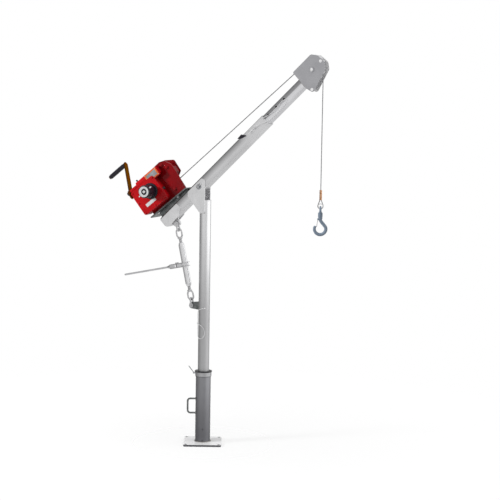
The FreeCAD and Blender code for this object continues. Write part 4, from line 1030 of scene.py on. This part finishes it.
# weld beads: points along a run or round a tube, with a ripple in their size
weldSetup = {
    "step": 1.5,
    "ripple": (1.0, 1.16, 0.9, 0.84),
    # body, bead, finish, place, ring's radius and the rings' centres
    "rings": {
        "footWeld": ("pedestal", 3.6, "weldSteel", upright, 52.6, [(0, 0, 14.5)]),
        "collarWeld": ("pedestal", 2.4, "darkSteel", upright, 51.4, [(0, 0, 461.5)]),
        "handleWelds": ("pedestal", 2.0, "weldSteel", basePlace @ quarter("Y"), 7.2,
                        [(-206, 0, -50.4), (-304, 0, -50.4)]),
    },
    # body, bead, place, and each run's ends with its distance to both sides of the middle
    "runs": {
        "mastWelds": ("mast", 2.4, upright, [((-37.4, 907), (-37.4, 969), 8.4),
                                             ((-16, 1569), (16, 1569), 39.4)]),
        "boomWelds": ("boom", 2.2, boomPlace, [((-366, 30.6), (-206, 30.6), 39.2),
                                               ((-338, -38.6), (-276, -38.6), 8.4),
                                               ((-352, 38.8), (-92, 38.8), 19.2)]),
        "headWelds": ("boom_inner", 2.2, boomPlace, [((1000, -31), (1000.8, 31), 33.6)]),
    },
}


def weldRun(place, first, last, side):
    start, end = Vector((first[0], side, first[1])), Vector((last[0], side, last[1]))
    count = max(3, round((end - start).length / weldSetup["step"]))
    return [millimetres(place) @ start.lerp(end, index / count) for index in range(count + 1)]


def weldRing(place, centre, radius):
    count = max(12, round(2 * math.pi * radius / weldSetup["step"]))
    turns = [2 * math.pi * index / count for index in range(count)]
    spot = spotOn(millimetres(place), centre)
    return [spot @ Vector((radius * math.cos(turn), radius * math.sin(turn), 0)) for turn in turns]


def addWelds(name, lines, radius, body, closed=False, material="weldSteel"):
    mesh = tubeMesh(name, lines, radius / 1000, 2, closed, weldSetup["ripple"])
    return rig.ride(addPiece(name, mesh, material, "stainless_plate", 60), body)


def buildWelds(setup):
    for name, (body, bead, material, place, radius, centres) in setup["rings"].items():
        addWelds(name, [weldRing(place, centre, radius) for centre in centres], bead, body, True, material)
    for name, (body, bead, place, runs) in setup["runs"].items():
        sides = [(first, last, side) for first, last, reach in runs for side in (-reach, reach)]
        addWelds(name, [weldRun(place, *side) for side in sides], bead, body)


buildWelds(weldSetup)
print("welds run")


# winch: screws round the cover, its gasket, two oil plugs, the bare plates and the nuts on the tie rods
winchSetup = {
    "screws": [(-318, 26), (-318, 107), (-318, 188), (-262, 188), (-131, 188), (-131, 107), (-131, 26),
               (-225, 26)],
    "screw": {"washer": [(0, 0), (7.4, 0), (7.4, 1.2), (6.6, 1.7), (0, 1.7)], "steps": 20,
              "hexagon": (6.2, 5.2, 0.6)},
    "screwTurn": 0.7,  # each screw stops at another angle
    "coverFace": -118,
    "gasketFace": -110,
    "gasketRadius": 0.0011,
    "case": (-330, -119, 14, 200),
    "caseRound": 16,
    "drain": {"washer": [(0, 0), (12, 0), (12, 1.8), (11, 2.4), (0, 2.4)], "steps": 24,
              "hexagon": (9.5, 10, 0.6)},
    "drainPoint": (-119, -84, 88),
    "breather": [(0, 0), (7, 0), (7, 2), (4.4, 2.4), (4.4, 5), (6, 5.4), (6.4, 11), (5, 13), (0, 13.6)],
    "breatherPoint": (-250, -84, 239),
    # two corners, edge, its segments, finish and slot
    "blocks": {
        "platePad": ((-180, -112.6, 172), (-70, -96, 234), 3.0, 3, "redEnamel", "red_paint"),
        "plateBorder": ((-176, -113.6, 176), (-74, -112.6, 230), 0.4, 2, "orangeEnamel", "red_paint"),
        "barePlate": ((-166, -114.2, 184), (-84, -113.4, 222), 0.35, 2, "machinedSteel", "machined_steel"),
        "bareStrip": ((-282, -118.7, 50), (-196, -117.8, 73), 0.35, 2, "blankPlate", "bright_steel"),
    },
    "rivets": [(-171, 180), (-79, 180), (-171, 226), (-79, 226)],
    "rivet": [(0, 0), (2.4, 0), (2.2, 0.7), (1.3, 1.2), (0, 1.4)],
    "rivetFace": -113.6,
    "ties": [(-26, 190), (-50, 226), (-66, 40)],
    "tieFaces": (-58, 70),
    "tieNut": {"washer": [(0, 0), (14.5, 0), (14.5, 1.6), (13.6, 2), (0, 2)], "steps": 24,
               "hexagon": (12.9, 8.4, 0.9),
               "tip": [(0, 8), (6, 8), (6, 11), (5, 12), (0, 12)], "tipSteps": 20},
}


def gasketLine(place, setup):
    low, high, foot, top = setup["case"]
    bend, face = setup["caseRound"], setup["gasketFace"]
    corners = [(high - bend, top - bend, 0), (low + bend, top - bend, 90), (low + bend, foot + bend, 180),
               (high - bend, foot + bend, 270)]
    line = []
    for u, v, first in corners:
        for turn in bendAngles(first, 90):
            line.append(place @ Vector((u + bend * math.cos(turn), face, v + bend * math.sin(turn))))
    return line


def buildWinchTrim(setup):
    place = millimetres(winchPlace)
    near, far = quarter("X"), quarter("X", -1)
    bm = bmesh.new()
    for index, (u, v) in enumerate(setup["screws"]):
        spot = spotOn(place, (u, setup["coverFace"], v), near)
        addNut(bm, spot, setup["screw"], index * setup["screwTurn"])
    bodyPiece("coverScrews", bm, "redEnamel", "red_paint", "boom")

    mesh = tubeMesh("coverGasket", [gasketLine(place, setup)], setup["gasketRadius"], 1, True)
    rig.ride(addPiece("coverGasket", mesh, "blackMoulding", "black_plastic", 60), "boom")

    bm = bmesh.new()
    addNut(bm, spotOn(place, setup["drainPoint"], quarter("Y")), setup["drain"])
    turnProfile(bm, setup["breather"], spotOn(place, setup["breatherPoint"]), 24)
    bodyPiece("oilPlugs", bm, "darkSteel", "machined_steel", "boom")

    for name, (low, high, width, segments, material, slot) in setup["blocks"].items():
        bm = bmesh.new()
        addBlock(bm, place, low, high, width, segments)
        bodyPiece(name, bm, material, slot, "boom")
    bm = bmesh.new()
    for u, v in setup["rivets"]:
        turnProfile(bm, setup["rivet"], spotOn(place, (u, setup["rivetFace"], v), near), 14)
    bodyPiece("plateRivets", bm, "brightSteel", "bright_steel", "boom", 60)

    bm = bmesh.new()
    for u, v in setup["ties"]:
        for face, turn in zip(setup["tieFaces"], (near, far)):
            addNut(bm, spotOn(place, (u, face, v), turn), setup["tieNut"])
    bodyPiece("tieNuts", bm, "caseEnamel", "red_paint", "boom")


buildWinchTrim(winchSetup)

# clutch: its seat on the cover, a knurled sleeve, a dark face inside the bright ring and the bar's ends
clutchSetup = {
    "coverFace": -118,
    "seat": [(38, 8.1), (38, 8.6), (51, 8.6), (53, 7.6), (54, 5.6), (54, 0), (38, 8.1)],
    "capFace": -215,
    "face": [(10.9, 1.15), (10.9, 1.7), (19.6, 1.7), (19.6, 1.15), (10.9, 1.15)],
    "nut": (8.2, 3.8, 0.5),
    "barEnd": [(0, 0), (5.15, 0), (5.15, 13.2), (4.4, 14.8), (2.6, 15.7), (0, 16)],
    "barDepth": -199,
    "barReach": 43,
    "ridges": 44,
    "ridge": 1.018,
    "radius": 43.2,
    "sleeve": (-152, -190),
    "rim": (0.972, 1.0),
}


def buildClutch(setup):
    drum, out = millimetres(drumPlace), quarter("X")
    cover = spotOn(drum, (0, setup["coverFace"], 0), out)
    turnedPiece("clutchSeat", setup["seat"], cover, "blackMoulding", "black_plastic", "boom", 48)
    face = spotOn(drum, (0, setup["capFace"], 0), out)
    turnedPiece("clutchFace", setup["face"], face, "blackMoulding", "black_plastic", "clutch", 40)
    bm = bmesh.new()
    addHexagon(bm, face, *setup["nut"])
    bodyPiece("clutchNut", bm, "darkSteel", "machined_steel", "clutch")

    bm = bmesh.new()
    count, radius = setup["ridges"] * 4, setup["radius"]
    ring = bmesh.ops.create_circle(bm, cap_ends=False, segments=count, radius=radius)["verts"]
    high = [vert for index, vert in enumerate(ring) if index % 4 < 2]
    bmesh.ops.scale(bm, vec=(setup["ridge"], setup["ridge"], 1), verts=high)
    first, last = setup["sleeve"]
    upper = onlyVerts(bmesh.ops.extrude_edge_only(bm, edges=list(bm.edges))["geom"])
    bmesh.ops.translate(bm, verts=upper, vec=(0, 0, first - last))
    shrink, rise = setup["rim"]
    for verts, shift in ((ring, -rise), (upper, rise)):
        rim = onlyVerts(bmesh.ops.extrude_edge_only(bm, edges=edgesBetween(bm, verts))["geom"])
        bmesh.ops.scale(bm, vec=(shrink, shrink, 1), verts=rim)
        bmesh.ops.translate(bm, verts=rim, vec=(0, 0, shift))
    bmesh.ops.bridge_loops(bm, edges=openEdges(bm))
    bmesh.ops.transform(bm, matrix=spotOn(drum, (0, first, 0), out), verts=bm.verts)
    bodyPiece("clutchSleeve", bm, "blackMoulding", "black_plastic", "clutch", 25)

    bm = bmesh.new()
    for side in (-1, 1):
        spot = spotOn(drum, (side * setup["barReach"], setup["barDepth"], 0), quarter("Y", side))
        turnProfile(bm, setup["barEnd"], spot, 20)
    bodyPiece("clutchBarEnds", bm, "brightSteel", "bright_steel", "clutch")


buildClutch(clutchSetup)

# crank: the nut on the hub, and a ribbed hand grip in place of the plain one
crankSetup = {
    "hubEnd": -348,
    "nut": {"washer": [(0, 0), (17, 0), (17, 1.8), (16, 2.4), (0, 2.4)], "steps": 28,
            "hexagon": (14.5, 13, 1.0),
            "tip": [(0, 12), (7.4, 12), (7.4, 16), (6.4, 17), (0, 17)], "tipSteps": 24},
    "gripStart": -342.4,
    "grip": [(6.4, 0), (11.6, 0), (12.8, 1.4), (13.6, 8), (15.2, 16), (15.9, 22)],
    "ribs": {"count": 8, "first": 24, "pitch": 12.9,
             "shape": [(16, 0), (16, 7.6), (15.1, 8.6), (14.9, 10), (15.1, 11.4)]},
    "gripEnd": [(15.9, 130), (15.2, 139), (13.8, 146), (12.4, 149.4), (11, 150), (6.4, 150), (6.4, 0)],
}


def buildCrank(setup):
    back = quarter("Y", -1)
    bm = bmesh.new()
    addNut(bm, spotOn(millimetres(crankPlace), (setup["hubEnd"], 0, 0), back), setup["nut"])
    bodyPiece("crankNut", bm, "darkSteel", "machined_steel", "crank")

    profile = ribbedProfile(setup["grip"], setup["ribs"], setup["gripEnd"])
    place = spotOn(millimetres(gripPlace), (setup["gripStart"], 0, 0), back)
    grip = turnedPiece("crankGrip", profile, place, "blackMoulding", "black_plastic", "grip", 36, 50)
    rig.replaces(grip, "crank_grip")


buildCrank(crankSetup)
print("winch trimmed")


# rope's end: the eye of strands round its thimble, and the crimped copper sleeve
eyeSetup = {
    "centre": 1651,
    "radius": 17.5,
    "leg": 3.5,
    "sleeveFoot": 1690,
    "thimble": [(12, -5), (16.6, -5.6), (17.4, -4.9), (14.3, -3.3), (14, 0), (14.3, 3.3), (17.4, 4.9),
                (16.6, 5.6), (12, 5), (11.7, 0), (12, -5)],
    "sleeveStart": [(3.3, 0), (7.4, 0), (8.3, 1.6), (8.5, 4)],
    "crimps": {"count": 4, "first": 8, "pitch": 14, "shape": [(8.5, 0), (7.8, 1.2), (7.7, 4.4), (8.4, 5.8)]},
    "sleeveEnd": [(8.5, 60.5), (8.2, 63), (7, 65), (3.3, 65), (3.3, 0)],
    "flattened": 0.86,
}


def buildRopeEye(setup):
    place = millimetres(hookPlace)
    centre = Vector((0, 0, setup["centre"]))
    drop = setup["sleeveFoot"] - setup["centre"]
    reach = math.hypot(setup["leg"], drop)
    start = math.atan2(drop, setup["leg"]) - math.acos(setup["radius"] / reach)
    across, up = Vector((1, 0, 0)), Vector((0, 0, 1))
    bow = roundRoute(centre, across, up, setup["radius"], start, -math.pi - start, 8)
    ends = [Vector((side * setup["leg"], 0, setup["sleeveFoot"] + 2)) for side in (1, -1)]
    route = [place @ point for point in [ends[0], *bow, ends[1]]]
    eye, line = addRope("ropeEye", route)
    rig.ride(eye, "hook_block")
    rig.replaces(eye, "rope_eye")
    spot = spotOn(place, centre, quarter("X"))
    thimble = turnedPiece("ropeThimble", setup["thimble"], spot, "zincSteel", "bright_steel", "hook_block",
                          40, 50)
    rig.replaces(thimble, "thimble")
    profile = ribbedProfile(setup["sleeveStart"], setup["crimps"], setup["sleeveEnd"])
    spot = spotOn(place, (0, 0, setup["sleeveFoot"]), Matrix.Diagonal((1, setup["flattened"], 1, 1)))
    sleeve = turnedPiece("copperSleeve", profile, spot, "copper", "copper", "hook_block", 32, 50)
    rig.replaces(sleeve, "swage_sleeve")


buildRopeEye(eyeSetup)

# the sheave axle's turned ends
axleSetup = {
    "faces": (-44.5, 44.5),
    "dome": [(0, 0), (11.5, 0), (11.2, 1.2), (9.6, 2.6), (6, 3.6), (2.4, 4), (0, 4)],
}


def buildAxleEnds(setup):
    bm = bmesh.new()
    for face in setup["faces"]:
        turn = quarter("X", math.copysign(1, -face))
        turnProfile(bm, setup["dome"], spotOn(millimetres(sheavePlace), (0, face, 0), turn), 28)
    bodyPiece("axleDomes", bm, "brightSteel", "bright_steel", "boom_inner", 60)


buildAxleEnds(axleSetup)

# the washer under the boom pin's clip
pivotSetup = {"cheekFace": -45.4, "washer": [(9.8, 0), (19, 0), (19, 1.8), (18, 2.6), (9.8, 2.6), (9.8, 0)]}


def buildPivotWasher(setup):
    spot = millimetres(boomPlace) @ alongAxis((0, setup["cheekFace"], 0), (0, -1, 0))
    turnedPiece("pivotWasher", setup["washer"], spot, "machinedSteel", "machined_steel", "mast", 32)


buildPivotWasher(pivotSetup)

# forged hook: stations of (angle round the bowl, half depth, half width), swept from the neck to the point
hookSetup = {
    "neck": 1566.9,
    "bowl": 1503.9,
    "inside": 27.0,
    "neckSteps": 16,
    "neckSize": (11.0, 10.6),
    "fineSteps": 4,
    "stations": [(0, 10.8, 10.0), (20, 11.0, 10.2), (40, 11.0, 10.5), (60, 11.0, 10.6), (80, 11.0, 10.6),
                 (100, 11.0, 10.4), (120, 10.8, 9.8), (140, 10.4, 9.2), (160, 10.0, 8.8), (180, 9.6, 8.4),
                 (195, 9.3, 8.2), (204, 8.4, 7.6), (209, 6.6, 6.2), (212, 3.8, 3.8)],
    "shank": [(0, 1562), (9, 1563), (13, 1566.5), (14, 1569), (14, 1576), (13, 1577.8), (7, 1577.9),
              (7, 1608.6), (10.3, 1608.6), (10.5, 1609.4), (10.5, 1614.4), (9.4, 1615.5), (0, 1615.5)],
    "ears": (-19, -4, 6.4, 9.0, 1560.6, 1570.8),
    "earEdge": (1.6, 3),
}


def hookStations(setup):
    stations = []
    depth, width = setup["neckSize"]
    drop = setup["neck"] - setup["bowl"]
    side = setup["inside"] + setup["stations"][0][1]
    for step in range(setup["neckSteps"]):
        share = step / setup["neckSteps"]
        lean = math.atan2(6 * share * (1 - share) * side, drop)
        centre = Vector((side * share * share * (3 - 2 * share), 0, setup["neck"] - drop * share))
        stations.append((centre, Vector((math.cos(lean), 0, math.sin(lean))), depth, width))
    marks = [Vector(mark) for mark in setup["stations"]]
    fine = setup["fineSteps"]
    pairs = zip(marks, marks[1:])
    bowl = [first.lerp(second, step / fine) for first, second in pairs for step in range(fine)]
    for degrees, depth, width in [*bowl, marks[-1]]:
        turn = math.radians(degrees)
        way = Vector((math.cos(turn), 0, -math.sin(turn)))
        stations.append((Vector((0, 0, setup["bowl"])) + way * (setup["inside"] + depth), way, depth, width))
    return stations


def buildHook(setup):
    place = millimetres(hookPlace)
    bm = bmesh.new()
    last = None
    for centre, way, depth, width in hookStations(setup):
        across = Vector((0, 1, 0))
        axes = Matrix((way * depth, across * width, way.cross(across))).transposed().to_4x4()
        spot = Matrix.Translation(centre) @ axes
        if last is None:
            verts = bmesh.ops.create_circle(bm, cap_ends=True, segments=24, radius=1.0, matrix=spot)["verts"]
            edges = list({edge for vert in verts for edge in vert.link_edges})
        else:
            verts = onlyVerts(bmesh.ops.extrude_edge_only(bm, edges=edges)["geom"])
            edges = edgesBetween(bm, verts)
            bmesh.ops.transform(bm, matrix=spot @ last.inverted(), verts=verts)
        last = spot
    bmesh.ops.holes_fill(bm, edges=edges, sides=0)
    bmesh.ops.transform(bm, matrix=place, verts=bm.verts)
    turnProfile(bm, setup["shank"], place, 32)
    left, right, inner, outer, foot, top = setup["ears"]
    for side in (-1, 1):
        reach = sorted((side * inner, side * outer))
        addBlock(bm, place, (left, reach[0], foot), (right, reach[1], top), *setup["earEdge"])
    hook = bodyPiece("forgedHook", bm, "hookEnamel", "hook_paint", "hook", 45)
    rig.replaces(hook, "hook")


buildHook(hookSetup)
print("hook forged")

# jack screws: a forged oblong eye, a collar and a cut thread
screwSetup = {
    "bar": 5.5,
    "leg": 19.5,
    "low": 57.7,
    "high": 77.7,
    "collar": [(0, 93), (11, 93.4), (16.4, 95), (17, 96.4), (17, 101.8), (16, 103.4), (11, 108.2),
               (0, 108.6)],
    # radius and share of the pitch
    "thread": [(11.0, 0), (11.0, 0.18), (9.5, 0.46), (9.5, 0.72), (11.0, 1)],
    "pitch": 3.6,
    "start": 105.0,
    "turns": 40,
    "around": 18,
}


def buildJackScrew(name, node, place, body, setup):
    place = millimetres(place)
    line = []
    for height, first in ((setup["high"], 0), (setup["low"], 180)):
        for turn in bendAngles(first, 180):
            line.append(Vector((setup["leg"] * math.cos(turn), 0, height + setup["leg"] * math.sin(turn))))
    bm = bmesh.new()
    bm.from_mesh(tubeMesh(name + "Eye", [line], setup["bar"], 4, True))
    pitch, around, turns = setup["pitch"], setup["around"], setup["turns"]
    verts = [bm.verts.new((radius, 0, setup["start"] + share * pitch)) for radius, share in setup["thread"]]
    edges = [bm.edges.new(pair) for pair in zip(verts, verts[1:])]
    bmesh.ops.spin(bm, geom=verts + edges, cent=(0, 0, 0), axis=(0, 0, 1), dvec=(0, 0, pitch / around),
                   angle=2 * math.pi * turns, steps=around * turns)
    bmesh.ops.remove_doubles(bm, verts=bm.verts, dist=0.005)
    bmesh.ops.holes_fill(bm, edges=openEdges(bm), sides=0)
    bmesh.ops.transform(bm, matrix=place, verts=bm.verts)
    turnProfile(bm, setup["collar"], place, 32)
    screw = bodyPiece(name, bm, "linkSteel", "bright_steel", body, 40)
    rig.replaces(screw, node)


buildJackScrew("lowerScrew", "jack_lower_screw", jackPlace, "jack_lower", screwSetup)
buildJackScrew("upperScrew", "jack_upper_screw", tailPlace, "jack_upper", screwSetup)
print("jack screws cut")


# pale floor that fades into the backdrop, and a room that tubes and plates mirror
stageSetup = {
    "floorRadius": 3.2,
    "fade": (0.35, 2.88),
    "clear": (0.72, 1.0),
    "floor": (0.92, 0.92, 0.92),
    "backdrop": (1, 1, 1),
    "ring": [(0.0, 0.42), (1.0, 0.42), (0.045, 0.55), (0.125, 0.86), (0.25, 0.84), (0.34, 0.8), (0.4, 1.5),
             (0.55, 1.7), (0.59, 0.75), (0.68, 0.62), (0.74, 0.9), (0.79, 0.7), (0.84, 0.26), (0.9, 0.16),
             (0.955, 0.3)],
    "wallFoot": (-0.2, -0.07, 0.62, 1.0),
    "ceiling": (1, 1, 1),
    "ceilingFrom": (0.5, 0.85),
    "ground": (0.74, 0.74, 0.74),
    "groundFrom": (-0.15, -0.4),
    "diffuseDim": 0.6,
}
# place, aim, size and power
lampSetup = {
    "keyLight": ((-4.6, -4.4, 3.0), (0, 0, 1.3), 1.4, 300),
    "topLight": ((0.4, -0.6, 6.5), (0, 0, 0.0), 3.0, 110),
}


def buildStage(setup):
    bm = bmesh.new()
    bmesh.ops.create_circle(bm, cap_ends=True, segments=96, radius=setup["floorRadius"])
    mesh = bpy.data.meshes.new("floor")
    bm.to_mesh(mesh)
    bm.free()
    floor = bpy.data.objects.new("floor", mesh)
    bpy.context.scene.collection.objects.link(floor)
    material = bpy.data.materials.new("floor")
    material.use_nodes = True
    tree = material.node_tree
    place = addNode(tree, "ShaderNodeTexCoord").outputs["Object"]
    far = addNode(tree, "ShaderNodeVectorMath", {0: place}, operation="LENGTH").outputs["Value"]
    fade = mapRange(tree, far, *setup["fade"], *setup["clear"])
    clear = addNode(tree, "ShaderNodeBsdfTransparent").outputs[0]
    pale = addNode(tree, "ShaderNodeBsdfDiffuse", {"Color": setup["floor"]}).outputs[0]
    both = addNode(tree, "ShaderNodeMixShader", {0: fade, 1: pale, 2: clear}).outputs[0]
    tree.links.new(both, tree.nodes["Material Output"].inputs["Surface"])
    mesh.materials.append(material)
    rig.stage(floor)


# a lamp that paint and floor catch, but that doesn't show as a spot in the metal
def addSoftbox(name, place, aim, size, power):
    light = bpy.data.objects.new(name, bpy.data.lights.new(name, "AREA"))
    light.data.shape = "DISK"
    light.data.size = size
    light.data.energy = power
    light.location = place
    light.rotation_euler = (Vector(aim) - Vector(place)).to_track_quat("-Z", "Y").to_euler()
    light.visible_glossy = False
    bpy.context.scene.collection.objects.link(light)


# the room round the camera: bright on the right and behind, dark at the left's far corner
def buildRoom(setup):
    world = bpy.data.worlds.new("room")
    bpy.context.scene.world = world
    world.use_nodes = True
    tree = world.node_tree
    way = addNode(tree, "ShaderNodeTexCoord").outputs["Generated"]
    inputs = {"Vector": way, "Rotation": (0, 0, -cameraSetup["azimuth"])}
    turned = addNode(tree, "ShaderNodeMapping", inputs).outputs[0]
    inputs = {"Vector": turned}
    around = addNode(tree, "ShaderNodeTexGradient", inputs, gradient_type="RADIAL").outputs["Fac"]
    rise = axisOf(tree, turned, "Z")
    dim = mapRange(tree, rise, *setup["wallFoot"])
    walls = mixColours(tree, 1.0, addRamp(tree, around, setup["ring"]), dim, "MULTIPLY")
    above = mixColours(tree, mapRange(tree, rise, *setup["ceilingFrom"]), walls, setup["ceiling"])
    room = mixColours(tree, mapRange(tree, rise, *setup["groundFrom"]), above, setup["ground"])
    path = addNode(tree, "ShaderNodeLightPath").outputs
    dull = mixColours(tree, multiply(tree, path["Is Diffuse Ray"], setup["diffuseDim"]), room, (0, 0, 0))
    shown = mixColours(tree, path["Is Camera Ray"], dull, setup["backdrop"])
    tree.links.new(shown, tree.nodes["Background"].inputs["Color"])


buildStage(stageSetup)
buildRoom(stageSetup)
for name, values in lampSetup.items():
    addSoftbox(name, *values)
print("stage lit")

with open("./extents.json", "w") as sizeFile:
    json.dump({"cad": cadBox, "visual": [list(corner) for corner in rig.bounds()]}, sizeFile)
